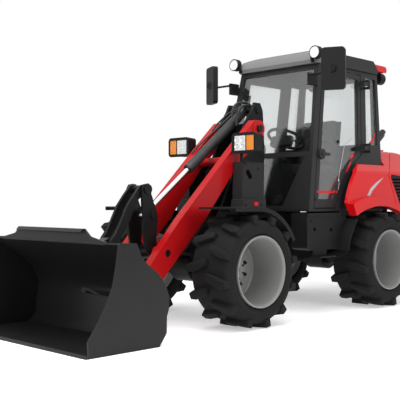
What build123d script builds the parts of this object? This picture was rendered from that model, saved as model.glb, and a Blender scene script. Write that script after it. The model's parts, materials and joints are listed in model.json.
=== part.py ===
from build123d import *
import math
import os

# Compact articulated wheel loader with a quick-hitch bucket.
# Millimetres. +X forward, +Y left, +Z up; origin on the ground below the middle of the whole machine.

os.makedirs("parts", exist_ok=True)

# ---------------------------------------------------------------- driving dimensions
tyre_radius = 445.0
tyre_width = 400.0
wheel_y = 617.0
wheelbase = 1850.0
front_axle_x = 600.0
rear_axle_x = front_axle_x - wheelbase
axle_z = tyre_radius
pivot_x = -325.0
rear_end_x = -2272.0
plate = 25.0
pin_gap = 0.4

# loader linkage, side view (x, z)
arm_pivot = (-7.0, 1627.0)
arm_end = (1400.0, 180.0)
rocker_foot = (1067.0, 583.0)
rocker_knee = (1097.0, 884.0)
rocker_top = (1151.0, 1086.0)
hitch_top = (1480.0, 660.0)
tilt_base = (-100.0, 1810.0)
lift_base = (189.0, 1232.0)
lift_eye = (840.0, 640.0)
arm_in_y = 175.0
arm_out_y = 250.0
tower_in_y = 138.0
lift_y = 95.0

# steering cylinder, plan view (x, y)
steer_base = (-760.0, -260.0)
steer_eye = (-60.0, -260.0)
steer_z = 600.0

# bucket
bucket_half_width = 798.0
bucket_wall = 12.0
bucket_front_x = 2272.0

# cab: half widths and the x of its front and rear faces at the sill and at the eaves
cab_sill_z = 905.0
cab_eaves_z = 2250.0
cab_sill_y = 560.0
cab_eaves_y = 470.0
cab_sill_front_x = -326.0
cab_eaves_front_x = -588.0
cab_sill_rear_x = -1530.0
cab_eaves_rear_x = -1555.0
cab_wall = 40.0
glass_inset = 14.0
glass_thickness = 6.0
door_gap = 8.0


# ---------------------------------------------------------------- helpers
def at_y(y):
    """Side-view sketch plane at this y; a positive extrusion goes towards -Y."""
    return Plane.XZ.offset(-y)


def side_plate(points, outer_y, thickness):
    """A flat plate with this side outline, from outer_y inwards."""
    with BuildPart() as slab:
        with BuildSketch(at_y(outer_y)):
            with BuildLine():
                Polyline(*points, close=True)
            make_face()
        extrude(amount=thickness)
    return slab.part


def cross_bar(place, radius, half_length, middle_y=0.0):
    """A round bar along Y through this side-view place."""
    with BuildPart() as bar:
        with BuildSketch(at_y(middle_y)):
            with Locations(place):
                Circle(radius)
        extrude(amount=half_length, both=True)
    return bar.part


def straight_bar(start, end, y, width, height, cut_start=0.0, cut_end=0.0, radius=None):
    """A bar in the side view from start to end, shortened at its ends; round when radius is given."""
    dx = end[0] - start[0]
    dz = end[1] - start[1]
    length = math.hypot(dx, dz)
    base = Plane(
        origin=(start[0] + dx / length * cut_start, y, start[1] + dz / length * cut_start),
        x_dir=(0, 1, 0),
        z_dir=(dx / length, 0, dz / length),
    )
    with BuildPart() as bar:
        with BuildSketch(base):
            if radius:
                Circle(radius)
            else:
                Rectangle(width, height)
        extrude(amount=length - cut_start - cut_end)
    return bar.part


def upright_bar(place, radius, low, high):
    with BuildPart() as bar:
        with BuildSketch(Plane.XY.offset(low)):
            with Locations(place):
                Circle(radius)
        extrude(amount=high - low)
    return bar.part


def level_rod(start, end, z, radius, cut_start, cut_end):
    dx = end[0] - start[0]
    dy = end[1] - start[1]
    length = math.hypot(dx, dy)
    base = Plane(
        origin=(start[0] + dx / length * cut_start, start[1] + dy / length * cut_start, z),
        x_dir=(0, 0, 1),
        z_dir=(dx / length, dy / length, 0),
    )
    with BuildPart() as bar:
        with BuildSketch(base):
            Circle(radius)
        extrude(amount=length - cut_start - cut_end)
    return bar.part


def cab_block(inset):
    """The tapered outer form of the cab, every face moved inwards by inset."""
    with BuildPart() as block:
        for z, half, front, rear in (
            (cab_sill_z, cab_sill_y, cab_sill_front_x, cab_sill_rear_x),
            (cab_eaves_z, cab_eaves_y, cab_eaves_front_x, cab_eaves_rear_x),
        ):
            with BuildSketch(Plane.XY.offset(z)):
                with Locations(((front + rear) / 2, 0)):
                    Rectangle(front - rear - 2 * inset, 2 * (half - inset))
        loft(ruled=True)
    return block.part


def cab_skin(outer_inset, inner_inset):
    """A tapered tube of cab wall between two insets, open at the sill and the eaves."""
    with BuildPart() as skin:
        add(cab_block(outer_inset))
        add(cab_block(inner_inset), mode=Mode.SUBTRACT)
    return skin.part


def side_prism(points, near_y, far_y):
    """A prism through the side view between two y values."""
    with BuildPart() as prism:
        with BuildSketch(at_y(far_y)):
            with BuildLine():
                Polyline(*points, close=True)
            make_face()
        extrude(amount=far_y - near_y)
    return prism.part


def front_prism(points, rear_x, front_x):
    """A prism through the front view (y, z) between two x values."""
    with BuildPart() as prism:
        with BuildSketch(Plane.YZ.offset(rear_x)):
            with BuildLine():
                Polyline(*points, close=True)
            make_face()
        extrude(amount=front_x - rear_x)
    return prism.part


def rounded_front_prism(points, radius, rear_x, front_x):
    """A prism through the front view (y, z) with its corners rounded."""
    with BuildPart() as prism:
        with BuildSketch(Plane.YZ.offset(rear_x)) as section:
            with BuildLine():
                Polyline(*points, close=True)
            make_face()
            fillet(section.vertices(), radius)
        extrude(amount=front_x - rear_x)
    return prism.part


def rounded_side_prism(points, radius, near_y, far_y):
    """A prism through the side view (x, z) with its corners rounded."""
    with BuildPart() as prism:
        with BuildSketch(at_y(far_y)) as section:
            with BuildLine():
                Polyline(*points, close=True)
            make_face()
            fillet(section.vertices(), radius)
        extrude(amount=far_y - near_y)
    return prism.part


# ---------------------------------------------------------------- wheels
tyre_bead_radius = 268.3
carcass_radius = 405.0
lug_reach = 52.0
lug_top = math.sqrt(tyre_radius ** 2 - lug_reach ** 2)
lug_base = 375.0
lugs_a_side = 12
rim_depth = 202.0
hub_inner_y = 482.0
spindle_radius = 40.0

half_tyre = tyre_width / 2
tread_half, side_half, side_radius = half_tyre - 34, half_tyre - 4, 330.0
lug_lean = math.degrees(math.asin(lug_reach / tyre_radius))
bead_seat = 15.0
with BuildPart() as left_tyre:
    # flats of the carcass, one under each lug: sidewall, tread, sidewall
    for near, near_radius, far, far_radius in (
        (-side_half, side_radius, -tread_half, carcass_radius),
        (-tread_half, carcass_radius, tread_half, carcass_radius),
        (tread_half, carcass_radius, side_half, side_radius),
    ):
        for y, radius in ((near, near_radius), (far, far_radius)):
            with BuildSketch(at_y(y)):
                RegularPolygon(radius, 2 * lugs_a_side, rotation=90.0 / lugs_a_side - lug_lean)
        loft(ruled=True)
    Cylinder(tyre_bead_radius, tyre_width + 20, rotation=(90, 0, 0), mode=Mode.SUBTRACT)
    # recess in which the rim's flange seats
    with Locations((0, rim_depth - 26 + 30, 0)):
        Cylinder(tyre_bead_radius + bead_seat, 60, rotation=(90, 0, 0), mode=Mode.SUBTRACT)

with BuildPart() as lug:
    with BuildSketch(Plane.XY.offset(lug_base)):
        with BuildLine():
            # (along the tread, across)
            Polyline((-lug_reach, 5), (0, 5), (lug_reach, 140), (lug_reach, half_tyre), (0, half_tyre), (-30, 100), close=True)
        make_face()
    extrude(amount=lug_top - lug_base)

with BuildPart() as left_tyre_lugged:
    add(left_tyre.part)
    for number in range(lugs_a_side):
        turn = 360.0 / lugs_a_side * number + lug_lean
        add(lug.part.rotate(Axis.Y, turn))
        add(mirror(lug.part, about=Plane.XZ).rotate(Axis.Y, turn + 180.0 / lugs_a_side))

with BuildPart() as left_rim:
    with BuildSketch(Plane.YZ):
        with BuildLine():
            # (across, radius): a deep dish with its disc near the inner side
            disc = hub_inner_y - wheel_y
            Polyline(
                (disc, spindle_radius + pin_gap),
                (disc, 240),
                (-half_tyre + 20, 268),
                (rim_depth - 24, 268),
                (rim_depth - 24, 280),
                (rim_depth, 280),
                (rim_depth, 258),
                (disc + 18, 240),
                (disc + 18, 110),
                (disc + 62, 92),
                (disc + 62, 0),
                (disc + 52, 0),
                (disc + 52, spindle_radius + pin_gap),
                close=True,
            )
        make_face()
    revolve(axis=Axis.Y)

for side, hand in (("left", 1), ("right", -1)):
    for end, axle_x in (("front", front_axle_x), ("rear", rear_axle_x)):
        place = Location((axle_x, hand * wheel_y, axle_z))
        tyre_shape = left_tyre_lugged.part
        rim_shape = left_rim.part
        if hand < 0:
            tyre_shape = mirror(tyre_shape, about=Plane.XZ)
            rim_shape = mirror(rim_shape, about=Plane.XZ)
        with BuildPart() as tyre:
            add(tyre_shape.moved(place))
        tyre.part.label = f"tyre_{end}_{side}"
        export_step(tyre.part, f"parts/tyre_{end}_{side}.step")
        with BuildPart() as rim:
            add(rim_shape.moved(place))
        rim.part.label = f"rim_{end}_{side}"
        export_step(rim.part, f"parts/rim_{end}_{side}.step")

# ---------------------------------------------------------------- axles
axle_tube = 75.0
for end, axle_x in (("front", front_axle_x), ("rear", rear_axle_x)):
    with BuildPart() as axle:
        add(cross_bar((axle_x, axle_z), axle_tube, 410))
        add(cross_bar((axle_x, axle_z), 125, 110))
        for hand in (1, -1):
            add(cross_bar((axle_x, axle_z), 92, 35, hand * (hub_inner_y - 37)))
            add(cross_bar((axle_x, axle_z), spindle_radius, 38, hand * (hub_inner_y + 10)))
        with Locations((axle_x, 0, axle_z + (128 - pin_gap) / 2)):
            Box(170, 260, 128 - pin_gap)
    axle.part.label = f"{end}_axle"
    export_step(axle.part, f"parts/{end}_axle.step")

# ---------------------------------------------------------------- rear chassis
chassis_half = 205.0
chassis_floor = axle_z + 128.0
chassis_top = 880.0
yoke_x = -480.0
pin_radius = 30.0
tongue_radius = 85.0
with BuildPart() as rear_chassis:
    for hand in (1, -1):
        outer = chassis_half if hand > 0 else -chassis_half + plate
        add(side_plate(
            [(yoke_x, 450), (yoke_x, chassis_top), (-1900, chassis_top), (-1900, 600),
             (-1450, chassis_floor), (-1050, chassis_floor), (-800, 450)],
            outer, plate))
    with Locations(((yoke_x - 1900) / 2, 0, chassis_top - plate / 2)):
        Box(yoke_x + 1900, 2 * (chassis_half - plate), plate)
    with Locations((yoke_x - plate / 2, 0, (450 + chassis_top) / 2)):
        Box(plate, 2 * (chassis_half - plate), chassis_top - 450)
    with Locations((rear_axle_x, 0, chassis_floor + plate / 2)):
        Box(300, 2 * (chassis_half - plate), plate)
    # yoke plates above and below the pivot, with the upright pin between them
    for low, high in ((450, 490), (800, 840)):
        with BuildSketch(Plane.XY.offset(low)):
            with Locations((pivot_x, 0)):
                Circle(tongue_radius)
            with Locations(((pivot_x + yoke_x) / 2, 0)):
                Rectangle(pivot_x - yoke_x, 2 * tongue_radius)
        extrude(amount=high - low)
    with BuildSketch(Plane.XY.offset(450)):
        with Locations((pivot_x, 0)):
            Circle(pin_radius)
    extrude(amount=390)
    # window through which the steering cylinder swings
    with Locations((-600, -175, steer_z)):
        Box(300, 90, 112, mode=Mode.SUBTRACT)
    for z in (steer_z + 50, steer_z - 50):
        with Locations((steer_base[0], -chassis_half - 47, z)):
            Box(90, 94, 15)
    add(upright_bar(steer_base, 16, steer_z - 57, steer_z + 57))
rear_chassis.part.label = "rear_chassis"
export_step(rear_chassis.part, "parts/rear_chassis.step")

# ---------------------------------------------------------------- counterweight and engine
with BuildPart() as counterweight:
    with BuildSketch(Plane.XY.offset(480)):
        with BuildLine():
            Polyline((-1901, -540), (-1901, 540), (-2150, 540), (rear_end_x, 420), (rear_end_x, -420), (-2150, -540), close=True)
        make_face()
    extrude(amount=400)
    with Locations((-2000, 0, 480)):
        Box(180, 700, 150)
counterweight.part.label = "counterweight"
export_step(counterweight.part, "parts/counterweight.step")

with BuildPart() as engine_block:
    with Locations((-1845, 0, 1090)):
        Box(480, 520, 420)
engine_block.part.label = "engine_block"
export_step(engine_block.part, "parts/engine_block.step")

# ---------------------------------------------------------------- front chassis with its tower
tower_out_y = tower_in_y + plate
front_half = 165.0
with BuildPart() as front_chassis:
    box_outline = [(-180, 495), (-180, 860), (510, 860), (700, 690), (790, 600), (790, chassis_floor),
                   (400, chassis_floor), (300, 495)]
    add(side_prism(box_outline, -front_half, front_half))
    inner_outline = [(-155, 519), (-155, 836), (500, 836), (660, 694), (745, 609), (745, chassis_floor + 24),
                     (410, chassis_floor + 24), (290, 519)]
    add(side_prism(inner_outline, -front_half + plate, front_half - plate), mode=Mode.SUBTRACT)
    # lugs for the steering cylinder's rod
    for z in (steer_z + 43, steer_z - 43):
        with Locations((steer_eye[0], -front_half - 64, z)):
            Box(80, 130, 14)
    # tongues inside the rear yoke
    for low, high in ((495, 535), (755, 795)):
        with BuildSketch(Plane.XY.offset(low)):
            with Locations((pivot_x, 0)):
                Circle(tongue_radius)
            with Locations(((pivot_x - 160) / 2, 0)):
                Rectangle(-160 - pivot_x, 2 * tongue_radius)
            with Locations((pivot_x, 0)):
                Circle(pin_radius + pin_gap, mode=Mode.SUBTRACT)
        extrude(amount=high - low)
    # tower plates
    for hand in (1, -1):
        outer = tower_out_y if hand > 0 else -tower_in_y
        add(side_plate(
            [(-180, 700), (-190, 1500), (-170, 1800), (-135, 1870), (-60, 1870), (-25, 1800), (85, 1650),
             (95, 1500), (200, 1290), (240, 1240), (238, 1180), (420, 860), (420, 700)],
            outer, plate))
    with Locations((-150, 0, 1350)):
        Box(20, 2 * tower_in_y, 700)
    # pins
    add(cross_bar(tilt_base, 36, tower_out_y + 6))
    add(cross_bar(tilt_base, 36, 60), mode=Mode.SUBTRACT)
    add(cross_bar(tilt_base, 24 + pin_gap, 200), mode=Mode.SUBTRACT)
    add(cross_bar(lift_base, 24, tower_out_y + 8))
    add(cross_bar(arm_pivot, 60, 5, tower_out_y + 5))
    add(cross_bar(arm_pivot, 60, 5, -tower_out_y - 5))
    for hand in (1, -1):
        add(cross_bar(arm_pivot, 32, 62, hand * (tower_out_y + 55)))
front_chassis.part.label = "front_chassis"
export_step(front_chassis.part, "parts/front_chassis.step")

with BuildPart() as tilt_cylinder_pin:
    add(cross_bar(tilt_base, 24, tower_out_y + 14))
    for hand in (1, -1):
        add(cross_bar(tilt_base, 34, 4, hand * (tower_out_y + 11)))
tilt_cylinder_pin.part.label = "tilt_cylinder_pin"
export_step(tilt_cylinder_pin.part, "parts/tilt_cylinder_pin.step")

# ---------------------------------------------------------------- lift arms
hitch_bush_radius = 66.0
with BuildPart() as lift_arms:
    arm_outline = [(-75, 1665), (-40, 1700), (40, 1700), (315, 1445), (940, 842), (1250, 505), (1475, 215),
                   (1470, 130), (1405, 95), (1320, 140), (1115, 393), (660, 837), (250, 1310), (-70, 1570)]
    for hand in (1, -1):
        outer = arm_out_y if hand > 0 else -arm_in_y
        add(side_plate(arm_outline, outer, arm_out_y - arm_in_y))
        add(cross_bar(arm_pivot, 75, 42, hand * 217))
    add(cross_bar((285, 1335), 38, arm_in_y + 10))
    for hand in (1, -1):
        add(cross_bar(rocker_foot, 52, 35, hand * 145))
        add(cross_bar(lift_eye, 42, 29, hand * 157))
        for place, radius in ((arm_pivot, 32 + pin_gap), (arm_end, hitch_bush_radius + pin_gap), (rocker_foot, 30 + pin_gap)):
            add(cross_bar(place, radius, 85, hand * 190), mode=Mode.SUBTRACT)
lift_arms.part.label = "lift_arms"
export_step(lift_arms.part, "parts/lift_arms.step")

with BuildPart() as rocker_pin:
    add(cross_bar(rocker_foot, 30, arm_out_y - 8))
rocker_pin.part.label = "rocker_pin"
export_step(rocker_pin.part, "parts/rocker_pin.step")

# ---------------------------------------------------------------- rocker
rocker_y = 90.0
with BuildPart() as rocker:
    outline = [(1018, 570), (1030, 628), (1062, 660), (1042, 838), (1045, 884), (1067, 945), (1112, 1050), (1105, 1100),
               (1140, 1132), (1180, 1125), (1202, 1086), (1205, 1035), (1200, 926), (1186, 866), (1196, 790), (1170, 640),
               (1120, 560), (1090, 530), (1040, 530)]
    for hand in (1, -1):
        outer = rocker_y + 12 if hand > 0 else -rocker_y + 12
        add(side_plate(outline, outer, 24))
    add(cross_bar(rocker_foot, 54, rocker_y + 12))
    for hand in (1, -1):
        add(cross_bar(rocker_knee, 30, 8, hand * (rocker_y + 18)))
    add(cross_bar(rocker_foot, 30 + pin_gap, 200), mode=Mode.SUBTRACT)
    add(cross_bar(rocker_top, 24 + pin_gap, 200), mode=Mode.SUBTRACT)
rocker.part.label = "rocker"
export_step(rocker.part, "parts/rocker.step")

with BuildPart() as link_pin:
    add(cross_bar(rocker_top, 24, rocker_y + 24))
    for hand in (1, -1):
        add(cross_bar(rocker_top, 38, 5.8, hand * (rocker_y + 18.2)))
link_pin.part.label = "link_pin"
export_step(link_pin.part, "parts/link_pin.step")

# ---------------------------------------------------------------- curved tilt link
link_inner_y, link_outer_y = 49.0, 73.0
with BuildPart() as tilt_link:
    link_outline = [(1115, 1062), (1140, 1128), (1200, 1115), (1265, 1040), (1332, 956), (1383, 857), (1446, 740), (1500, 690),
                    (1512, 650), (1480, 627), (1440, 650), (1390, 720), (1318, 820), (1266, 925), (1222, 1000), (1160, 1050)]
    # two side plates; the tilt cylinder swings up between them
    for hand in (1, -1):
        add(side_plate(link_outline, link_outer_y if hand > 0 else -link_inner_y, link_outer_y - link_inner_y))
        add(cross_bar(hitch_top, 26, 4, hand * (link_outer_y + 3)))
    add(cross_bar(rocker_top, 32, link_outer_y))
    add(cross_bar(rocker_top, 24 + pin_gap, 90), mode=Mode.SUBTRACT)
tilt_link.part.label = "tilt_link"
export_step(tilt_link.part, "parts/tilt_link.step")

# ---------------------------------------------------------------- quick hitch
with BuildPart() as quick_hitch:
    with Locations((1532, 0, 360)):
        Box(25, 580, 460)
    for hand in (1, -1):
        for inner_y in (144, 256):
            low = hand * inner_y if hand > 0 else -inner_y
            add(side_plate([(1345, 150), (1345, 215), (1400, 260), (1520, 560), (1520, 130), (1400, 118)],
                           low + (24 if hand > 0 else 0), 24))
    lug_half = link_inner_y - 6
    add(side_plate([(1445, 645), (1445, 690), (1480, 712), (1544.5, 690), (1544.5, 560), (1521, 560)], lug_half, 2 * lug_half))
    add(cross_bar(arm_end, 27 + pin_gap, 300), mode=Mode.SUBTRACT)
quick_hitch.part.label = "quick_hitch"
export_step(quick_hitch.part, "parts/quick_hitch.step")

with BuildPart() as hitch_pins:
    for hand in (1, -1):
        add(cross_bar(arm_end, 27, 75, hand * 212))
        add(cross_bar(arm_end, hitch_bush_radius, 40, hand * 212.5))
        add(cross_bar(arm_end, 36, 5.8, hand * 286.2))
hitch_pins.part.label = "hitch_pins"
export_step(hitch_pins.part, "parts/hitch_pins.step")

# ---------------------------------------------------------------- bucket
with BuildPart() as bucket:
    side_outline = [(2250, 14), (2255, 106), (2165, 228), (2093, 350), (2052, 445), (2025, 575), (2004, 710), (1994, 718),
                    (1853, 712), (1825, 648), (1808, 613), (1752, 563), (1677, 512), (1631, 465), (1584, 392), (1560, 329),
                    (1566, 250), (1584, 200), (1586, 86), (1654, 0), (2200, 0)]
    shell_line = [(2130, 0), (1654, 0), (1586, 86), (1584, 200), (1566, 250), (1560, 329), (1584, 392), (1631, 465),
                  (1677, 512), (1752, 563), (1850, 630), (1990, 716)]
    with BuildSketch(Plane.XZ):
        with BuildLine():
            Polyline(*shell_line)
            offset(amount=bucket_wall, side=Side.RIGHT, kind=Kind.INTERSECTION)
        make_face()
    extrude(amount=bucket_half_width - 1, both=True)
    for hand in (1, -1):
        outer = bucket_half_width if hand > 0 else -bucket_half_width + 14
        add(side_plate(side_outline, outer, 14))
    add(side_prism([(2060, 0), (bucket_front_x, 0), (2240, 22), (2060, 22)], -bucket_half_width, bucket_half_width))
    add(front_prism([(-640, 700), (-640, 718), (-470, 752), (-405, 803), (405, 803), (470, 752), (640, 718), (640, 700)], 1980, 1992))
    add(side_prism([(1992, 792), (1980, 803), (2004, 803), (2024, 780), (2018, 774)], -402, 402))
    # hooks and heel plates that the quick hitch holds
    for hand in (1, -1):
        inner = 100 if hand > 0 else -200
        add(side_prism([(1544.8, 180), (1544.8, 520), (1600, 520), (1650, 490), (1600, 400), (1572, 330), (1578, 250), (1595, 180)],
                       inner, inner + 100))
bucket.part.label = "bucket"
export_step(bucket.part, "parts/bucket.step")

# ---------------------------------------------------------------- cylinders
with BuildPart() as tilt_barrel:
    add(cross_bar(tilt_base, 48, 36))
    add(straight_bar(tilt_base, rocker_knee, 0, 0, 0, 20, 615, 44))
    add(straight_bar(tilt_base, rocker_knee, 0, 0, 0, 280, 600, 22 + pin_gap), mode=Mode.SUBTRACT)
    add(cross_bar(tilt_base, 24 + pin_gap, 60), mode=Mode.SUBTRACT)
tilt_barrel.part.label = "tilt_cylinder_barrel"
export_step(tilt_barrel.part, "parts/tilt_cylinder_barrel.step")

with BuildPart() as tilt_rod:
    add(straight_bar(tilt_base, rocker_knee, 0, 0, 0, 430, 20, 22))
    add(cross_bar(rocker_knee, 38, 36))
tilt_rod.part.label = "tilt_cylinder_rod"
export_step(tilt_rod.part, "parts/tilt_cylinder_rod.step")

with BuildPart() as lift_barrels:
    for hand in (1, -1):
        y = hand * lift_y
        add(cross_bar(lift_base, 42, 30, y))
        add(straight_bar(lift_base, lift_eye, y, 0, 0, 20, 120, 38))
        add(straight_bar(lift_base, lift_eye, y, 0, 0, 90, 100, 22 + pin_gap), mode=Mode.SUBTRACT)
    add(cross_bar(lift_base, 24 + pin_gap, 200), mode=Mode.SUBTRACT)
lift_barrels.part.label = "lift_cylinder_barrels"
export_step(lift_barrels.part, "parts/lift_cylinder_barrels.step")

with BuildPart() as lift_rods:
    for hand in (1, -1):
        y = hand * lift_y
        add(straight_bar(lift_base, lift_eye, y, 0, 0, 110, 40, 22))
        add(cross_bar(lift_eye, 42, 26, y))
        add(cross_bar(lift_eye, 26, 4, hand * (lift_y - 30)))
lift_rods.part.label = "lift_cylinder_rods"
export_step(lift_rods.part, "parts/lift_cylinder_rods.step")

# ---------------------------------------------------------------- steering cylinder
with BuildPart() as steer_barrel:
    add(upright_bar(steer_base, 34, steer_z - 30, steer_z + 30))
    add(level_rod(steer_base, steer_eye, steer_z, 30, 10, 255))
    add(level_rod(steer_base, steer_eye, steer_z, 18 + pin_gap, 60, 240), mode=Mode.SUBTRACT)
    add(upright_bar(steer_base, 16 + pin_gap, 500, 700), mode=Mode.SUBTRACT)
steer_barrel.part.label = "steering_cylinder_barrel"
export_step(steer_barrel.part, "parts/steering_cylinder_barrel.step")

with BuildPart() as steer_rod:
    add(level_rod(steer_base, steer_eye, steer_z, 18, 258, 15))
    add(upright_bar(steer_eye, 16, steer_z - 30, steer_z + 30))
    add(upright_bar(steer_eye, 32, steer_z - 22, steer_z + 22))
steer_rod.part.label = "steering_cylinder_rod"
export_step(steer_rod.part, "parts/steering_cylinder_rod.step")

# ---------------------------------------------------------------- cab
# openings in the side view (x, z)
door_outline = [(-395, 925), (-720, 925), (-780, 1050), (-900, 1210), (-1060, 1345), (-1200, 1430), (-1262, 2215), (-645, 2215)]
quarter_outline = [(-1290, 1530), (-1490, 1545), (-1515, 2190), (-1340, 2200)]
front_window = [(-490, 1440), (490, 1440), (425, 2205), (-425, 2205)]
front_lower = [(-250, 950), (250, 950), (440, 1395), (-440, 1395)]
door_window = [(-470, 1010), (-700, 1010), (-760, 1110), (-880, 1265), (-1040, 1400), (-1150, 1470), (-1205, 2160), (-690, 2160)]
rear_window = [(-440, 1560), (440, 1560), (410, 2190), (-410, 2190)]
wall_skin = cab_skin(0, cab_wall)

# door hinges: barrels along one straight line that leans with the pillar
door_hinge_z = (1500.0, 2120.0)
door_hinge_at = (-1250.0, 590.0, 1407.0)
door_hinge_lean = (-83.0, -70.0, 988.0)


def hinge_place(z):
    rise = (z - door_hinge_at[2]) / door_hinge_lean[2]
    return door_hinge_at[0] + rise * door_hinge_lean[0], door_hinge_at[1] + rise * door_hinge_lean[1]


def hinge_barrel(z, length, radius):
    """A round bar on the door's hinge line, centred at this height."""
    x, y = hinge_place(z)
    with BuildPart() as barrel:
        with BuildSketch(Plane(origin=(x, y, z), z_dir=door_hinge_lean)):
            Circle(radius)
        extrude(amount=length / 2, both=True)
    return barrel.part


def cab_half(z):
    """The cab's half width at this height."""
    return cab_sill_y + (z - cab_sill_z) / (cab_eaves_z - cab_sill_z) * (cab_eaves_y - cab_sill_y)


def side_panel(points, gap, near, far, outer_inset, inner_inset):
    """The piece of a tapered cab side that fills this outline."""
    with BuildPart() as prism:
        with BuildSketch(at_y(far)):
            with BuildLine():
                Polyline(*points, close=True)
            make_face()
            offset(amount=-gap, kind=Kind.INTERSECTION, mode=Mode.REPLACE)
        extrude(amount=far - near)
        add(cab_skin(outer_inset, inner_inset), mode=Mode.INTERSECT)
    return prism.part


def end_panel(points, gap, rear_x, front_x, outer_inset, inner_inset):
    """The piece of the cab's front or rear that fills this outline."""
    with BuildPart() as prism:
        with BuildSketch(Plane.YZ.offset(rear_x)):
            with BuildLine():
                Polyline(*points, close=True)
            make_face()
            offset(amount=-gap, kind=Kind.INTERSECTION, mode=Mode.REPLACE)
        extrude(amount=front_x - rear_x)
        add(cab_skin(outer_inset, inner_inset), mode=Mode.INTERSECT)
    return prism.part


with BuildPart() as cab_frame:
    add(wall_skin)
    with BuildSketch(Plane.XY.offset(cab_sill_z - 5)):
        with Locations(((cab_sill_front_x + cab_sill_rear_x) / 2, 0)):
            Rectangle(cab_sill_front_x - cab_sill_rear_x, 2 * cab_sill_y)
    extrude(amount=20.6)
    for x in (-600, -1350):
        with Locations((x, 0, (chassis_top + 0.3 + cab_sill_z) / 2)):
            Box(120, 2 * chassis_half, cab_sill_z - chassis_top - 0.3)
    for hand in (1, -1):
        near, far = (400, 620) if hand > 0 else (-620, -400)
        add(side_prism(door_outline, near, far), mode=Mode.SUBTRACT)
        add(side_prism(quarter_outline, near, far), mode=Mode.SUBTRACT)
    add(front_prism(front_window, -800, 0), mode=Mode.SUBTRACT)
    add(front_prism(front_lower, -600, 0), mode=Mode.SUBTRACT)
    add(front_prism(rear_window, -1700, -1400), mode=Mode.SUBTRACT)
    # the right side is a fixed panel with its own window
    add(side_panel(door_outline, 0, -620, -400, 0, cab_wall))
    add(side_prism(door_window, -620, -400), mode=Mode.SUBTRACT)
    for z in door_hinge_z:
        for step in (-33, 33):
            add(hinge_barrel(z + step, 24, 12))
            x, y = hinge_place(z + step)
            with Locations((x, (y + cab_half(z)) / 2 - 5, z + step)):
                Box(20, y - cab_half(z) + 8, 24)
        add(hinge_barrel(z, 60, 6))
cab_frame.part.label = "cab_frame"
export_step(cab_frame.part, "parts/cab_frame.step")


glass_edge = 0.5
glass_rear = glass_inset + glass_thickness
with BuildPart() as windscreen:
    add(end_panel(front_window, glass_edge, -800, 0, glass_inset, glass_rear))
    add(end_panel(front_lower, glass_edge, -600, 0, glass_inset, glass_rear))
windscreen.part.label = "windscreen"
export_step(windscreen.part, "parts/windscreen.step")

with BuildPart() as fixed_windows:
    add(end_panel(rear_window, glass_edge, -1700, -1400, glass_inset, glass_rear))
    add(side_panel(quarter_outline, glass_edge, 400, 620, glass_inset, glass_rear))
    add(side_panel(quarter_outline, glass_edge, -620, -400, glass_inset, glass_rear))
    add(side_panel(door_window, glass_edge, -620, -400, glass_inset, glass_rear))
fixed_windows.part.label = "fixed_windows"
export_step(fixed_windows.part, "parts/fixed_windows.step")

with BuildPart() as door_frame:
    add(side_panel(door_outline, door_gap, 400, 620, 0, cab_wall))
    add(side_prism(door_window, 400, 620), mode=Mode.SUBTRACT)
    for z in door_hinge_z:
        x, y = hinge_place(z)
        add(hinge_barrel(z, 38, 12))
        with Locations((x + 48, y - 4, z)):
            Box(84, 14, 36)
        with Locations((x + 80, (y + cab_half(z)) / 2 - 6, z)):
            Box(24, y - cab_half(z) + 8, 36)
        add(hinge_barrel(z, 60, 6 + pin_gap), mode=Mode.SUBTRACT)
    # round latch with its handle
    with Locations(Location((-545, cab_half(1416) + 8, 1416), (90, 0, 0))):
        Cylinder(46, 30)
    with Locations(Location((-590, cab_half(1416) + 26, 1416), (0, 0, 0))):
        Box(120, 10, 26)
door_frame.part.label = "door_frame"
export_step(door_frame.part, "parts/door_frame.step")

with BuildPart() as door_glass:
    add(side_panel(door_window, glass_edge, 400, 620, glass_inset, glass_inset + glass_thickness))
door_glass.part.label = "door_glass"
export_step(door_glass.part, "parts/door_glass.step")

roof_half = 488.0
roof_base = cab_eaves_z + 0.3
with BuildPart() as cab_roof:
    with BuildSketch(at_y(roof_half)):
        with BuildLine():
            Polyline((-1400, 2440), (-1545, cab_eaves_z + 40), (-1545, roof_base), (-560, roof_base), (-552, 2285))
            # visor curving back into the roof
            ThreePointArc((-552, 2285), (-640, 2372), (-820, 2412))
            ThreePointArc((-820, 2412), (-1110, 2440), (-1400, 2440))
        make_face()
    extrude(amount=2 * roof_half)
    # crowned across, rounded at the front corners
    with BuildSketch(Plane.YZ.offset(-2000)):
        with BuildLine():
            Polyline((roof_half, 2370), (roof_half, 2200), (-roof_half, 2200), (-roof_half, 2370))
            ThreePointArc((-roof_half, 2370), (0, 2441), (roof_half, 2370))
        make_face()
    extrude(amount=2000, mode=Mode.INTERSECT)
    with BuildSketch(Plane.XY.offset(2200)) as roof_plan:
        with Locations((-1052, 0)):
            Rectangle(1000, 2 * roof_half)
        fillet(roof_plan.vertices().sort_by(Axis.X)[-2:], 40)
    extrude(amount=400, mode=Mode.INTERSECT)
cab_roof.part.label = "cab_roof"
export_step(cab_roof.part, "parts/cab_roof.step")

with BuildPart() as roof_fairing:
    with BuildSketch(at_y(460)):
        with BuildLine():
            Polyline((-1400.2, 2440.2), (-1545.2, 2290.2), (-1745, 2290), (-1755, 2325))
            ThreePointArc((-1755, 2325), (-1625, 2418), (-1400.2, 2440.2))
        make_face()
    extrude(amount=920)
    with BuildSketch(Plane.YZ.offset(-2000)):
        with BuildLine():
            Polyline((460, 2350), (460, 2200), (-460, 2200), (-460, 2350))
            ThreePointArc((-460, 2350), (0, 2441), (460, 2350))
        make_face()
    extrude(amount=2000, mode=Mode.INTERSECT)
roof_fairing.part.label = "roof_fairing"
export_step(roof_fairing.part, "parts/roof_fairing.step")

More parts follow.
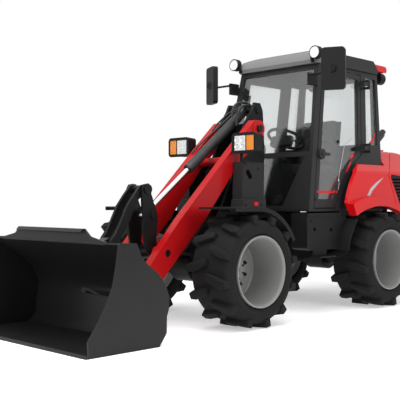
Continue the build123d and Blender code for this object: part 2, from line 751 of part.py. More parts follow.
# ---------------------------------------------------------------- inside the cab
with BuildPart() as seat:
    with Locations((-1020, 0, 1289.2)):
        Box(480, 480, 120)
    with Locations((-1255, 0, 1529.2)):
        Box(110, 480, 600)
    chamfer(seat.edges(), 24)
seat.part.label = "seat"
export_step(seat.part, "parts/seat.step")

with BuildPart() as cab_console:
    with Locations((-1060, 0, 1075)):
        Box(520, 420, 308)
    with Locations((-1000, -370, 1130)):
        Box(600, 190, 418)
cab_console.part.label = "seat_base_and_console"
export_step(cab_console.part, "parts/seat_base_and_console.step")

wheel_centre = (-706.0, 1590.0)
with BuildPart() as steering_column:
    with Locations((-570, 0, 1130)):
        Box(140, 240, 418)
    add(straight_bar((-570, 1330), wheel_centre, 0, 0, 0, 0, 0, 32))
    # steering wheel: rim, hub and three spokes square to the column
    lean = math.degrees(math.atan2(wheel_centre[0] + 570, wheel_centre[1] - 1330))
    with Locations(Location((wheel_centre[0], 0, wheel_centre[1]), (0, lean, 0))):
        Cylinder(190, 20)
        Cylinder(166, 20, mode=Mode.SUBTRACT)
        Cylinder(45, 26)
        for turn in (0, 120, 240):
            with Locations(Location((0, 0, 0), (0, 0, turn))):
                with Locations((100, 0, 0)):
                    Box(160, 26, 12)
steering_column.part.label = "steering_column"
export_step(steering_column.part, "parts/steering_column.step")

# ---------------------------------------------------------------- rear body and hood
hood_top = 1500.0
hood_hinge = (-1846.0, 1510.0)
body_section = [(-430, hood_top), (430, hood_top), (620, 1270), (680, 830), (-680, 830), (-620, 1270)]
hollow_section = [(-395, hood_top - 30), (395, hood_top - 30), (585, 1255), (650, 820), (-650, 820), (-585, 1255)]
bulkhead_section = [(-385, 1468), (385, 1468), (515, 1312), (500, 1290), (500, 890), (-500, 890), (-500, 1290), (-515, 1312)]
body_block = rounded_front_prism(body_section, 75, -2400, 0)
body_hollow = rounded_front_prism(hollow_section, 60, -2400, 0)
arch_front, arch_top, arch_rear = (-828, 858), (-1230, 946), (-1640, 860)
flare_width = 80.0


def raised(place, amount):
    return place[0], place[1] + amount


with BuildPart() as rear_fenders:
    with BuildSketch(at_y(720)):
        with BuildLine():
            # front edge sweeping back to the hood, hood seam, wheel arch
            ThreePointArc((-768, 975), (-945, 1235), (-1290, 1455))
            Polyline((-1290, 1455), (-1420, 1500), (-1840, 1495), (-1520, 1250), (-1600, 945), arch_rear)
            ThreePointArc(arch_rear, arch_top, arch_front)
            Line(arch_front, (-768, 975))
        make_face()
    extrude(amount=1440)
    add(body_block, mode=Mode.INTERSECT)
    add(body_hollow, mode=Mode.SUBTRACT)
    # flared band along the wheel arch
    for hand in (1, -1):
        with BuildSketch(at_y(722 if hand > 0 else -660)):
            with BuildLine():
                ThreePointArc(arch_front, arch_top, arch_rear)
                Line(arch_rear, raised(arch_rear, flare_width * 0.4))
                ThreePointArc(raised(arch_rear, flare_width * 0.4), raised(arch_top, flare_width), (-775, 965))
                Line((-775, 965), arch_front)
            make_face()
        extrude(amount=62)
    with Locations((-1100, 0, 1150)):
        Box(900, 2 * cab_sill_y + 0.4, 900, mode=Mode.SUBTRACT)
    # bulkhead between cab and engine, standing on the chassis
    add(front_prism(bulkhead_section, -1590, -1574))
    with Locations((-1582, 0, (chassis_top + 0.2 + 895) / 2)):
        Box(16, 2 * chassis_half, 895 - chassis_top - 0.2)
    for y in (300, -300):
        for step in (42, -42):
            with Locations((hood_hinge[0] + 30, y + step, hood_top - 1)):
                Box(50, 30, 11)
            add(cross_bar(hood_hinge, 9, 15, y + step))
        add(cross_bar(hood_hinge, 5, 45, y))
rear_fenders.part.label = "rear_fenders"
export_step(rear_fenders.part, "parts/rear_fenders.step")

# one round sweep from the top of the hood down to its rear face
hood_arc_x, hood_arc_z = -1901.7, 1122.6
hood_arc_radius = hood_arc_x - rear_end_x + 1.0
hood_wall = 30.0
rear_round = 150.0
grille_outline = [(-1668, 952), (-1545, 1258), (-2030, 1215), (-2105, 952)]


def hood_sweep(inset, degrees):
    turn = math.radians(degrees)
    reach = hood_arc_radius - inset
    return hood_arc_x + reach * math.cos(turn), hood_arc_z + reach * math.sin(turn)


with BuildPart() as hood_plan:
    with BuildSketch(Plane.XY.offset(700)) as plan:
        with Locations(((rear_end_x - 1000) / 2, 0)):
            Rectangle(-1000 - rear_end_x, 1400)
        fillet(plan.vertices().sort_by(Axis.X)[:2], rear_round + 60)
    extrude(amount=900)
with BuildPart() as hood_room:
    with BuildSketch(at_y(700)):
        with BuildLine():
            inner_front = hood_sweep(hood_wall, 81.7)
            inner_rear = hood_sweep(hood_wall, 175.8)
            Polyline(inner_rear, (inner_rear[0], 800), (-1300, 800), (-1300, inner_front[1]), inner_front)
            ThreePointArc(inner_front, hood_sweep(hood_wall, 130), inner_rear)
        make_face()
    extrude(amount=1400)
    add(body_hollow, mode=Mode.INTERSECT)
    with BuildSketch(Plane.XY.offset(700)) as inside_plan:
        with Locations(((rear_end_x - 1000) / 2 + 15, 0)):
            Rectangle(-1030 - rear_end_x, 1340)
        fillet(inside_plan.vertices().sort_by(Axis.X)[:2], rear_round + 30)
    extrude(amount=1000, mode=Mode.INTERSECT)
hood_hollow = hood_room.part
with BuildPart() as hood:
    with BuildSketch(at_y(720)):
        with BuildLine():
            outer_front = hood_sweep(0, 81.7)
            outer_rear = hood_sweep(0, 175.8)
            Polyline(outer_rear, (outer_rear[0], 900), (-1700, 900), (-1611, 942), (-1528, 1250), outer_front)
            ThreePointArc(outer_front, hood_sweep(0, 130), outer_rear)
        make_face()
    extrude(amount=1440)
    add(body_block, mode=Mode.INTERSECT)
    add(hood_plan.part, mode=Mode.INTERSECT)
    add(hood_hollow, mode=Mode.SUBTRACT)
    # side openings for the grilles
    add(rounded_side_prism(grille_outline, 30, -720, 720), mode=Mode.SUBTRACT)
    # hinge leaves and barrels on the hood's front edge
    for y in (300, -300):
        with Locations((hood_hinge[0] - 30, y, hood_top - 4)):
            Box(50, 50, 17)
        add(cross_bar(hood_hinge, 9, 24, y))
        add(cross_bar(hood_hinge, 5 + pin_gap, 40, y), mode=Mode.SUBTRACT)
hood.part.label = "hood"
export_step(hood.part, "parts/hood.step")

# ---------------------------------------------------------------- side grilles of the hood
grille_rows = 9
grille_low, grille_high = 975.0, 1240.0
with BuildPart() as grille_slots:
    with BuildSketch(at_y(720)):
        for row in range(grille_rows):
            with Locations((-1825, grille_low + (grille_high - grille_low) * row / (grille_rows - 1))):
                Rectangle(700, 15)
    extrude(amount=1440)
    add(side_prism([(x * 0.94 - 110, 1095 + (z - 1095) * 0.86) for x, z in grille_outline], -720, 720), mode=Mode.INTERSECT)
with BuildPart() as hood_grilles:
    add(rounded_side_prism(grille_outline, 30, -720, 720))
    add(rounded_front_prism([(y * 0.99, z) for y, z in body_section], 75, -2400, 0), mode=Mode.INTERSECT)
    add(rounded_front_prism([(y * 0.985, z) for y, z in hollow_section], 60, -2400, 0), mode=Mode.SUBTRACT)
    add(grille_slots.part, mode=Mode.SUBTRACT)
hood_grilles.part.label = "hood_grilles"
export_step(hood_grilles.part, "parts/hood_grilles.step")

# ---------------------------------------------------------------- side boxes, steps, mudguards
def arch_point(centre_x, radius, degrees):
    """A point on the circle round an axle, measured back from straight up."""
    angle = math.radians(degrees)
    return centre_x - radius * math.sin(angle), axle_z + radius * math.cos(angle)


def arch_sheet(centre_x, radius, thickness, from_degrees, to_degrees, near_y, far_y):
    """A sheet bent round an axle."""
    middle = (from_degrees + to_degrees) / 2
    inner = radius - thickness
    with BuildPart() as sheet:
        with BuildSketch(at_y(far_y)):
            with BuildLine():
                ThreePointArc(*(arch_point(centre_x, radius, a) for a in (from_degrees, middle, to_degrees)))
                Line(arch_point(centre_x, radius, to_degrees), arch_point(centre_x, inner, to_degrees))
                ThreePointArc(*(arch_point(centre_x, inner, a) for a in (to_degrees, middle, from_degrees)))
                Line(arch_point(centre_x, inner, from_degrees), arch_point(centre_x, radius, from_degrees))
            make_face()
        extrude(amount=far_y - near_y)
    return sheet.part


box_to_tyre = 65.0
box_rear_x = rear_axle_x + tyre_radius + box_to_tyre
box_front_x = -240.0
box_outline = [
    (box_front_x, 580),
    (box_front_x, 878),
    (box_rear_x, 878),
    (box_rear_x - 75, 790),
    (box_rear_x + 20, 560),
    (box_front_x - 60, 560),
]
box_inner_y, box_outer_y = 430.0, 605.0
step_z = 505.0
guard_radius = 560.0
with BuildPart() as side_boxes:
    for hand in (1, -1):
        near, far = (box_inner_y, box_outer_y) if hand > 0 else (-box_outer_y, -box_inner_y)
        add(rounded_side_prism(box_outline, 16, near, far))
        # top ledge under the door and two round holes in the side
        ledge = [(box_front_x, 862), (box_front_x, 886), (box_rear_x - 12, 886), (box_rear_x + 2, 862)]
        add(side_prism(ledge, near + hand * 8, far + hand * 8))
        for hole_x, hole_z in ((box_front_x - 110, 745), (box_rear_x + 150, 735)):
            with Locations(Location((hole_x, hand * box_outer_y, hole_z), (90, 0, 0))):
                Cylinder(17, 60, mode=Mode.SUBTRACT)
        with Locations((box_rear_x + 50, hand * 317.7, 760)):
            Box(90, 225, 60)
        # step: hangers and a cleated tread
        with Locations((-420, hand * 603, (step_z + 565) / 2)):
            Box(200, 12, 565 - step_z)
        with Locations((-420, hand * 652, step_z)):
            Box(230, 96, 12)
        for cleat in range(7):
            with Locations((-510 + 30 * cleat, hand * 655, step_z + 8)):
                Box(8, 78, 6)
        # black mudguard ahead of the rear wheel, from the box up to the fender
        near, far = (560, 716) if hand > 0 else (-716, -560)
        add(arch_sheet(rear_axle_x, guard_radius, 14, -46.5, -79, near, far))
        add(arch_sheet(rear_axle_x, guard_radius + 60, 72, -46.5, -72, near, near + 40 if hand > 0 else far))
side_boxes.part.label = "side_boxes"
export_step(side_boxes.part, "parts/side_boxes.step")

fender_room = 55.0
fender_radius = tyre_radius + fender_room
fender_near_y, fender_far_y = 388.0, 790.0
with BuildPart() as front_fenders:
    for hand in (1, -1):
        near, far = (fender_near_y, fender_far_y) if hand > 0 else (-fender_far_y, -fender_near_y)
        edge_near, edge_far = (fender_far_y - 14, fender_far_y) if hand > 0 else (-fender_far_y, -fender_far_y + 14)
        top_z = axle_z + fender_radius
        add(arch_sheet(front_axle_x, fender_radius, 16, 0, 62, near, far))
        add(side_prism([(front_axle_x, top_z - 16), (front_axle_x, top_z), (870, top_z), (870, top_z - 16)], near, far))
        # turned-down outer edge
        add(arch_sheet(front_axle_x, fender_radius, 34, 0, 62, edge_near, edge_far))
        add(side_prism([(front_axle_x, top_z - 34), (front_axle_x, top_z), (870, top_z), (870, top_z - 34)], edge_near, edge_far))
        with Locations((300, hand * 287.6, 830)):
            Box(240, 244.8, 20)
        with Locations((300, hand * 404, 865)):
            Box(240, 12, 90)
front_fenders.part.label = "front_fenders"
export_step(front_fenders.part, "parts/front_fenders.step")

# ---------------------------------------------------------------- head lamps
lamp_x, lamp_y, lamp_z = 300.0, 392.0, 1478.0
lamp_width, lamp_height, lamp_depth = 250.0, 160.0, 100.0
lens_size = 124.0
lens_depth = 18.0
lens_y, amber_y = lamp_y - 40.0, lamp_y + 72.0
amber_width = 84.0
lamp_front = lamp_x + lamp_depth / 2
with BuildPart() as headlights:
    for hand in (1, -1):
        with BuildSketch(Plane.YZ.offset(lamp_x - lamp_depth / 2)) as face:
            with Locations((hand * lamp_y, lamp_z)):
                Rectangle(lamp_width, lamp_height)
            fillet(face.vertices(), 26)
        extrude(amount=lamp_depth, taper=-4)
        for y, width in ((lens_y, lens_size), (amber_y, amber_width)):
            with Locations((lamp_front - lens_depth / 2, hand * y, lamp_z)):
                Box(lens_depth, width, lens_size, mode=Mode.SUBTRACT)
        # stalk down to the tower cover
        with Locations((290, hand * 320, 1360)):
            Cylinder(14, 80)
        with Locations((290, hand * 345, 1400)):
            Box(40, 90, 16)
headlights.part.label = "headlights"
export_step(headlights.part, "parts/headlights.step")

with BuildPart() as headlight_lenses:
    for hand in (1, -1):
        with Locations((lamp_front - lens_depth / 2 - 2, hand * lens_y, lamp_z)):
            Box(lens_depth - 5, lens_size - 0.6, lens_size - 0.6)
headlight_lenses.part.label = "headlight_lenses"
export_step(headlight_lenses.part, "parts/headlight_lenses.step")

with BuildPart() as indicators:
    for hand in (1, -1):
        with Locations((lamp_front - lens_depth / 2 - 2, hand * amber_y, lamp_z)):
            Box(lens_depth - 5, amber_width - 0.6, lens_size - 0.6)
indicators.part.label = "indicators"
export_step(indicators.part, "parts/indicators.step")

# ---------------------------------------------------------------- tower covers
cover_near, cover_far = 262.0, 370.0
with BuildPart() as tower_covers:
    for hand in (1, -1):
        near, far = (cover_near, cover_far) if hand > 0 else (-cover_far, -cover_near)
        add(side_prism([(60, 895.2), (340, 895.2), (340, 1120), (320, 1319.8), (60, 1319.8)], near, far))
        # wider box at the foot
        foot_near, foot_far = (near, far + 24) if hand > 0 else (near - 24, far)
        add(rounded_side_prism([(60, 895.2), (372, 895.2), (352, 1010), (60, 1010)], 10, foot_near, foot_far))
        # oval hole in the side plate
        with BuildSketch(at_y(far if hand > 0 else near + 60)):
            with Locations(Location((252, 1217), 52)):
                SlotOverall(92, 46)
        extrude(amount=60, mode=Mode.SUBTRACT)
        with Locations((150, hand * (tower_out_y + 50.2), 950)):
            Box(120, 100, 60)
tower_covers.part.label = "tower_covers"
export_step(tower_covers.part, "parts/tower_covers.step")

# ---------------------------------------------------------------- work lamps, mirrors, exhaust
work_lamp_radius = 58.0
with BuildPart() as work_lamps:
    for hand in (1, -1):
        for lamp_at, turn, depth in (((-522, hand * 491, 2335), 90, 56), ((-1700, hand * 400, 2230), -90, 80)):
            with Locations(Location(lamp_at, (0, turn, 0))):
                Cylinder(work_lamp_radius, depth)
                with Locations((0, 0, depth / 2 - 5)):
                    Cylinder(work_lamp_radius - 7, 11, mode=Mode.SUBTRACT)
        with Locations((-536.6, hand * 440, 2268)):
            Box(30, 16, 33)
        with Locations((-528.6, hand * 440, 2302)):
            Box(30, 16, 60)
        with Locations((-1700, hand * 400, 2288)):
            Box(24, 24, 3.4)
work_lamps.part.label = "work_lamps"
export_step(work_lamps.part, "parts/work_lamps.step")

with BuildPart() as work_lamp_lenses:
    for hand in (1, -1):
        for lamp_at, turn, depth in (((-522, hand * 491, 2335), 90, 56), ((-1700, hand * 400, 2230), -90, 80)):
            with Locations(Location(lamp_at, (0, turn, 0))):
                with Locations((0, 0, depth / 2 - 7)):
                    Cylinder(work_lamp_radius - 7.3, 6)
work_lamp_lenses.part.label = "work_lamp_lenses"
export_step(work_lamp_lenses.part, "parts/work_lamp_lenses.step")

with BuildPart() as mirrors:
    for hand in (1, -1):
        toe = math.radians(26)
        facing = (math.cos(toe), hand * math.sin(toe), 0)
        across = (-hand * math.sin(toe), math.cos(toe), 0)
        with BuildSketch(Plane(origin=(-443, hand * 738, 2150), x_dir=across, z_dir=facing)) as mirror_face:
            Rectangle(210, 370)
            fillet(mirror_face.vertices(), 32)
        extrude(amount=25, both=True)
        with Locations(Location((-415, hand * 745, 2150), (0, 90, hand * 26))):
            Cylinder(34, 12)
        with Locations((-418, hand * 612, 2120)):
            Cylinder(10, 260, rotation=(90, 0, 0))
        with Locations((-486, hand * 478, 2090)):
            Box(119.6, 24, 110)
mirrors.part.label = "mirrors"
export_step(mirrors.part, "parts/mirrors.step")

exhaust_y = 350.0
with BuildPart() as exhaust:
    add(straight_bar((-1640, 1545), (-1820, 1680), exhaust_y, 0, 0, 0, 0, 42))
    add(straight_bar((-1805, 1669), (-1860, 1710), exhaust_y, 0, 0, 0, 0, 30))
    with Locations((-1640, exhaust_y, 1524)):
        Box(80, 60, 52)
exhaust.part.label = "exhaust"
export_step(exhaust.part, "parts/exhaust.step")
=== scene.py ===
import json
import math

import bmesh
import bpy
from mathutils import Matrix, Vector
from mathutils.bvhtree import BVHTree

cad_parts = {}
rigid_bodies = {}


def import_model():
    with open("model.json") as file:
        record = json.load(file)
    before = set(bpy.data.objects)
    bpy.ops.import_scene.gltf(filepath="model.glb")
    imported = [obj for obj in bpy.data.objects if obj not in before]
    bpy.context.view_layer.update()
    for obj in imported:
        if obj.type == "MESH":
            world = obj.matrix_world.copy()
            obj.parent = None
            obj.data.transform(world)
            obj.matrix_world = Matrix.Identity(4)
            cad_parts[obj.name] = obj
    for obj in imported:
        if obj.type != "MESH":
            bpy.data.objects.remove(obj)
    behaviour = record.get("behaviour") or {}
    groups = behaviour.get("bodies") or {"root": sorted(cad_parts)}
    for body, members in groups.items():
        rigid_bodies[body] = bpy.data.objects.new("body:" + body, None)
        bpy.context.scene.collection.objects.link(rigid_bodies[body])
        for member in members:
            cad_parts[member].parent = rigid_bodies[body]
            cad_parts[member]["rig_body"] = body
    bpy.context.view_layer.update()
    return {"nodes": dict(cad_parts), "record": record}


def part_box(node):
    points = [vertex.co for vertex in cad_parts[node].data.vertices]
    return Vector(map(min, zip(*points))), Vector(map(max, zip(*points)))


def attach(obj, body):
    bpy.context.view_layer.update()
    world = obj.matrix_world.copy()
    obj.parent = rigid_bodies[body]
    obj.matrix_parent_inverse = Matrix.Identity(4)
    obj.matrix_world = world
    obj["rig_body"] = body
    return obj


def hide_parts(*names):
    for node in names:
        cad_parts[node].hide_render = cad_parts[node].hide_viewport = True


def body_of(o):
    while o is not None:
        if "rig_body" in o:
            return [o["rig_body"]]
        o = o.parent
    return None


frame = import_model()
cadNodes = frame["nodes"]
print("stage: frame loaded, nodes:", len(cadNodes))


# finishes: base colour, a second colour mixed in by noise, roughness low and high, grain height
finishes = {
    "tyreRubber": {
        "shine": 0.12, "colour": (0.008, 0.008, 0.008), "tint": (0.013, 0.013, 0.013),
        "rough": (0.62, 0.85), "patch": 9, "grain": 160, "height": 0.0007,
    },
    "rimPaint": {
        "colour": (0.21, 0.21, 0.208), "tint": (0.25, 0.25, 0.245), "rough": (0.38, 0.5), "patch": 6,
        "grain": 240, "height": 0.0001,
    },
    "redPaint": {
        "shine": 0.2, "colour": (0.62, 0.002, 0.005), "tint": (0.57, 0.002, 0.005), "rough": (0.26, 0.34),
        "patch": 3, "grain": 300, "height": 0.00004, "coat": 0.2,
    },
    # the lift arms take a darker copy of the body red: painted shade on the arms, not a different paint
    "armRedShaded": {
        "shine": 0.2, "colour": (0.46, 0.004, 0.006), "tint": (0.38, 0.004, 0.006), "rough": (0.34, 0.46),
        "patch": 3, "grain": 260, "height": 0.00006, "coat": 0.1,
    },
    "blackSteel": {
        "shine": 0.16, "colour": (0.006, 0.006, 0.006), "tint": (0.010, 0.010, 0.010),
        "rough": (0.3, 0.42), "patch": 5, "grain": 220, "height": 0.0001,
    },
    "bucketPaint": {
        "shine": 0.2, "colour": (0.010, 0.010, 0.010), "tint": (0.014, 0.014, 0.014),
        "rough": (0.28, 0.38), "patch": 4, "grain": 180, "height": 0.00012,
    },
    "castIron": {
        "shine": 0.15, "colour": (0.010, 0.010, 0.010), "tint": (0.018, 0.017, 0.017),
        "rough": (0.55, 0.7), "patch": 8, "grain": 90, "height": 0.0006,
    },
    "greyPaint": {
        "colour": (0.022, 0.022, 0.023), "tint": (0.03, 0.03, 0.031), "rough": (0.36, 0.46), "patch": 5,
        "grain": 220, "height": 0.00006,
    },
    "cabPaint": {
        "shine": 0.18, "colour": (0.016, 0.016, 0.017), "tint": (0.021, 0.021, 0.022),
        "rough": (0.38, 0.48), "patch": 4, "grain": 260, "height": 0.00005,
    },
    "blackPlastic": {
        "shine": 0.14, "colour": (0.006, 0.006, 0.006), "tint": (0.010, 0.010, 0.010),
        "rough": (0.45, 0.6), "patch": 6, "grain": 420, "height": 0.00025,
    },
    "greyPlastic": {
        "shine": 0.16, "colour": (0.016, 0.016, 0.017), "tint": (0.022, 0.022, 0.023),
        "rough": (0.5, 0.62), "patch": 6, "grain": 420, "height": 0.00025,
    },
    "seatCloth": {
        "colour": (0.02, 0.02, 0.021), "tint": (0.03, 0.03, 0.031), "rough": (0.85, 0.95), "patch": 12,
        "grain": 500, "height": 0.0006,
    },
    "silverTape": {
        "colour": (0.42, 0.42, 0.43), "tint": (0.50, 0.50, 0.51), "rough": (0.3, 0.4), "patch": 8,
        "grain": 300, "height": 0.00003,
    },
    "hoseRubber": {
        "colour": (0.014, 0.014, 0.014), "tint": (0.02, 0.02, 0.02), "rough": (0.42, 0.55), "patch": 10,
        "grain": 300, "height": 0.0003,
    },
}


def startMaterial(name):
    material = bpy.data.materials.new(name)
    material.use_nodes = True
    tree = material.node_tree
    shader = next(node for node in tree.nodes if node.type == "BSDF_PRINCIPLED")
    return material, tree, shader


def finishMaterial(name):
    look = finishes[name]
    material, tree, shader = startMaterial(name)
    place = tree.nodes.new("ShaderNodeTexCoord")
    patches = tree.nodes.new("ShaderNodeTexNoise")
    patches.inputs["Scale"].default_value = look["patch"]
    patches.inputs["Detail"].default_value = 5
    tree.links.new(place.outputs["Object"], patches.inputs["Vector"])
    colours = tree.nodes.new("ShaderNodeMix")
    colours.data_type = "RGBA"
    colours.inputs[6].default_value = (*look["colour"], 1)
    colours.inputs[7].default_value = (*look["tint"], 1)
    tree.links.new(patches.outputs["Fac"], colours.inputs[0])
    tree.links.new(colours.outputs[2], shader.inputs["Base Color"])
    gloss = tree.nodes.new("ShaderNodeMapRange")
    gloss.inputs["To Min"].default_value = look["rough"][0]
    gloss.inputs["To Max"].default_value = look["rough"][1]
    tree.links.new(patches.outputs["Fac"], gloss.inputs["Value"])
    tree.links.new(gloss.outputs["Result"], shader.inputs["Roughness"])
    grain = tree.nodes.new("ShaderNodeTexNoise")
    grain.inputs["Scale"].default_value = look["grain"]
    grain.inputs["Detail"].default_value = 3
    tree.links.new(place.outputs["Object"], grain.inputs["Vector"])
    bump = tree.nodes.new("ShaderNodeBump")
    bump.inputs["Strength"].default_value = 0.6
    bump.inputs["Distance"].default_value = look["height"]
    tree.links.new(grain.outputs["Fac"], bump.inputs["Height"])
    tree.links.new(bump.outputs["Normal"], shader.inputs["Normal"])
    shader.inputs["Specular IOR Level"].default_value = look.get("shine", 0.3)
    shader.inputs["Coat Weight"].default_value = look.get("coat", 0.0)
    shader.inputs["Coat Roughness"].default_value = 0.12
    return material


def glassMaterial(name, tint, shine):
    material, tree, shader = startMaterial(name)
    out = next(node for node in tree.nodes if node.type == "OUTPUT_MATERIAL")
    tree.nodes.remove(shader)
    clear = tree.nodes.new("ShaderNodeBsdfTransparent")
    clear.inputs["Color"].default_value = (*tint, 1)
    mirror = tree.nodes.new("ShaderNodeBsdfGlossy")
    mirror.inputs["Roughness"].default_value = 0.12
    place = tree.nodes.new("ShaderNodeTexCoord")
    waves = tree.nodes.new("ShaderNodeTexNoise")
    waves.inputs["Scale"].default_value = 1.5
    tree.links.new(place.outputs["Object"], waves.inputs["Vector"])
    share = tree.nodes.new("ShaderNodeMapRange")
    share.inputs["To Min"].default_value = shine * 0.8
    share.inputs["To Max"].default_value = shine * 1.2
    tree.links.new(waves.outputs["Fac"], share.inputs["Value"])
    mix = tree.nodes.new("ShaderNodeMixShader")
    tree.links.new(share.outputs["Result"], mix.inputs[0])
    tree.links.new(clear.outputs[0], mix.inputs[1])
    tree.links.new(mirror.outputs[0], mix.inputs[2])
    tree.links.new(mix.outputs[0], out.inputs["Surface"])
    return material


def metalMaterial(name, colour, rough):
    material, tree, shader = startMaterial(name)
    shader.inputs["Metallic"].default_value = 1.0
    shader.inputs["Base Color"].default_value = (*colour, 1)
    place = tree.nodes.new("ShaderNodeTexCoord")
    scratches = tree.nodes.new("ShaderNodeTexNoise")
    scratches.inputs["Scale"].default_value = 120
    tree.links.new(place.outputs["Object"], scratches.inputs["Vector"])
    gloss = tree.nodes.new("ShaderNodeMapRange")
    gloss.inputs["To Min"].default_value = rough[0]
    gloss.inputs["To Max"].default_value = rough[1]
    tree.links.new(scratches.outputs["Fac"], gloss.inputs["Value"])
    tree.links.new(gloss.outputs["Result"], shader.inputs["Roughness"])
    return material


materials = {name: finishMaterial(name) for name in finishes}
materials["chrome"] = metalMaterial("chromeRod", (0.72, 0.72, 0.72), (0.08, 0.16))
materials["glass"] = glassMaterial("cabGlass", (0.93, 0.94, 0.94), 0.13)


def lensMaterial(name, colour, glow, ribs):
    material, tree, shader = startMaterial(name)
    place = tree.nodes.new("ShaderNodeTexCoord")
    wave = tree.nodes.new("ShaderNodeTexWave")
    wave.bands_direction = "Y"
    wave.inputs["Scale"].default_value = ribs
    wave.inputs["Distortion"].default_value = 0.4
    tree.links.new(place.outputs["Object"], wave.inputs["Vector"])
    shade = tree.nodes.new("ShaderNodeMix")
    shade.data_type = "RGBA"
    shade.inputs[6].default_value = (*colour, 1)
    shade.inputs[7].default_value = (*(part * 0.72 for part in colour), 1)
    tree.links.new(wave.outputs["Fac"], shade.inputs[0])
    tree.links.new(shade.outputs[2], shader.inputs["Base Color"])
    tree.links.new(shade.outputs[2], shader.inputs["Emission Color"])
    shader.inputs["Emission Strength"].default_value = glow
    shader.inputs["Roughness"].default_value = 0.12
    bump = tree.nodes.new("ShaderNodeBump")
    bump.inputs["Distance"].default_value = 0.001
    tree.links.new(wave.outputs["Fac"], bump.inputs["Height"])
    tree.links.new(bump.outputs["Normal"], shader.inputs["Normal"])
    return material


materials["clearLens"] = lensMaterial("clearLens", (0.78, 0.79, 0.80), 0.25, 40)
materials["amberLens"] = lensMaterial("amberLens", (0.90, 0.28, 0.01), 0.15, 60)


visor = {"from": -0.80, "to": -0.62, "colour": (0.17, 0.17, 0.172)}


def roofMaterial():
    material = finishMaterial("cabPaint")
    roofTree = material.node_tree
    roofShader = next(node for node in roofTree.nodes if node.type == "BSDF_PRINCIPLED")
    roofPlace = roofTree.nodes.new("ShaderNodeTexCoord")
    roofAxes = roofTree.nodes.new("ShaderNodeSeparateXYZ")
    roofTree.links.new(roofPlace.outputs["Object"], roofAxes.inputs[0])
    # the smoked visor at the front of the roof is paler than the painted shell
    roofFade = roofTree.nodes.new("ShaderNodeMapRange")
    roofFade.inputs["From Min"].default_value = visor["from"]
    roofFade.inputs["From Max"].default_value = visor["to"]
    roofTree.links.new(roofAxes.outputs["X"], roofFade.inputs["Value"])
    roofMix = roofTree.nodes.new("ShaderNodeMix")
    roofMix.data_type = "RGBA"
    roofTree.links.new(roofShader.inputs["Base Color"].links[0].from_socket, roofMix.inputs[6])
    roofMix.inputs[7].default_value = (*visor["colour"], 1)
    roofTree.links.new(roofFade.outputs["Result"], roofMix.inputs[0])
    roofTree.links.new(roofMix.outputs[2], roofShader.inputs["Base Color"])
    return material


materials["roofPaint"] = roofMaterial()

slotFinish = {
    "tyre": "tyreRubber",
    "rim": "rimPaint",
    "black_steel": "blackSteel",
    "cast_weight": "castIron",
    "red_paint": "redPaint",
    "bucket_black": "bucketPaint",
    "grey_paint": "greyPaint",
    "chrome_rod": "chrome",
    "cab_grey": "cabPaint",
    "glass": "glass",
    "seat_cloth": "seatCloth",
    "black_plastic": "blackPlastic",
    "dark_grey_plastic": "greyPlastic",
    "clear_lens": "clearLens",
    "amber_lens": "amberLens",
}
# the lift arms get the darker copy of the body red, which paints shade onto them
nodeFinish = {
    "cab_roof": "roofPaint", "lift_arms": "armRedShaded", "rocker": "blackSteel", "tilt_link": "blackSteel",
}
nodeSlots = {part["node"]: part["material_slot"] for part in frame["record"]["subparts"]}


def dressNode(nodeName):
    finish = nodeFinish.get(nodeName, slotFinish.get(nodeSlots[nodeName], "blackPlastic"))
    mesh = cadNodes[nodeName].data
    mesh.materials.clear()
    mesh.materials.append(materials[finish])


for nodeName in cadNodes:
    dressNode(nodeName)
print("stage: CAD nodes dressed")


# mesh helpers
def finishPiece(name, shape, finish, body, angle=38):
    bmesh.ops.recalc_face_normals(shape, faces=shape.faces)
    data = bpy.data.meshes.new(name)
    shape.to_mesh(data)
    shape.free()
    data.materials.append(materials[finish])
    data.shade_smooth()
    data.set_sharp_from_angle(angle=math.radians(angle))
    piece = bpy.data.objects.new(name, data)
    bpy.context.scene.collection.objects.link(piece)
    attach(piece, body)
    return piece


def spunPart(shape, outline, centre, direction, steps, closed=False):
    # outline: (reach along the axis, radius) pairs, spun once round the axis
    centre = Vector(centre)
    direction = Vector(direction).normalized()
    sideways = direction.orthogonal().normalized()
    corners = [
        shape.verts.new(centre + direction * reach + sideways * radius)
        for reach, radius in outline
    ]
    following = corners[1:] + corners[:1] if closed else corners[1:]
    edges = [shape.edges.new(pair) for pair in zip(corners, following)]
    bmesh.ops.spin(
        shape, geom=corners + edges, cent=centre, axis=direction, angle=2 * math.pi,
        steps=steps, use_merge=True,
    )
    bmesh.ops.holes_fill(shape, edges=[edge for edge in shape.edges if edge.is_boundary], sides=steps)


def spunDisc(shape, centre, direction, radius, depth, bevel, steps=32):
    edge = [(depth - bevel, radius), (depth - bevel * 0.3, radius - bevel * 0.3), (depth, radius - bevel)]
    spunPart(shape, [(0, radius)] + edge, centre, direction, steps)


def drawnBar(shape, rows):
    # a closed bar: its first end is a face, extruded from row to row
    first = shape.faces.new([shape.verts.new(point) for point in rows[0]])
    end = first
    for row, nextRow in zip(rows, rows[1:]):
        grown = bmesh.ops.extrude_face_region(shape, geom=[end])["geom"]
        if end is not first:  # the face it grew from would stay inside the bar
            bmesh.ops.delete(shape, geom=[end], context="FACES_ONLY")
        end = next(part for part in grown if isinstance(part, bmesh.types.BMFace))
        for corner in end.verts:
            nearest = min(range(len(row)), key=lambda index: (corner.co - Vector(row[index])).length)
            corner.co = nextRow[nearest]


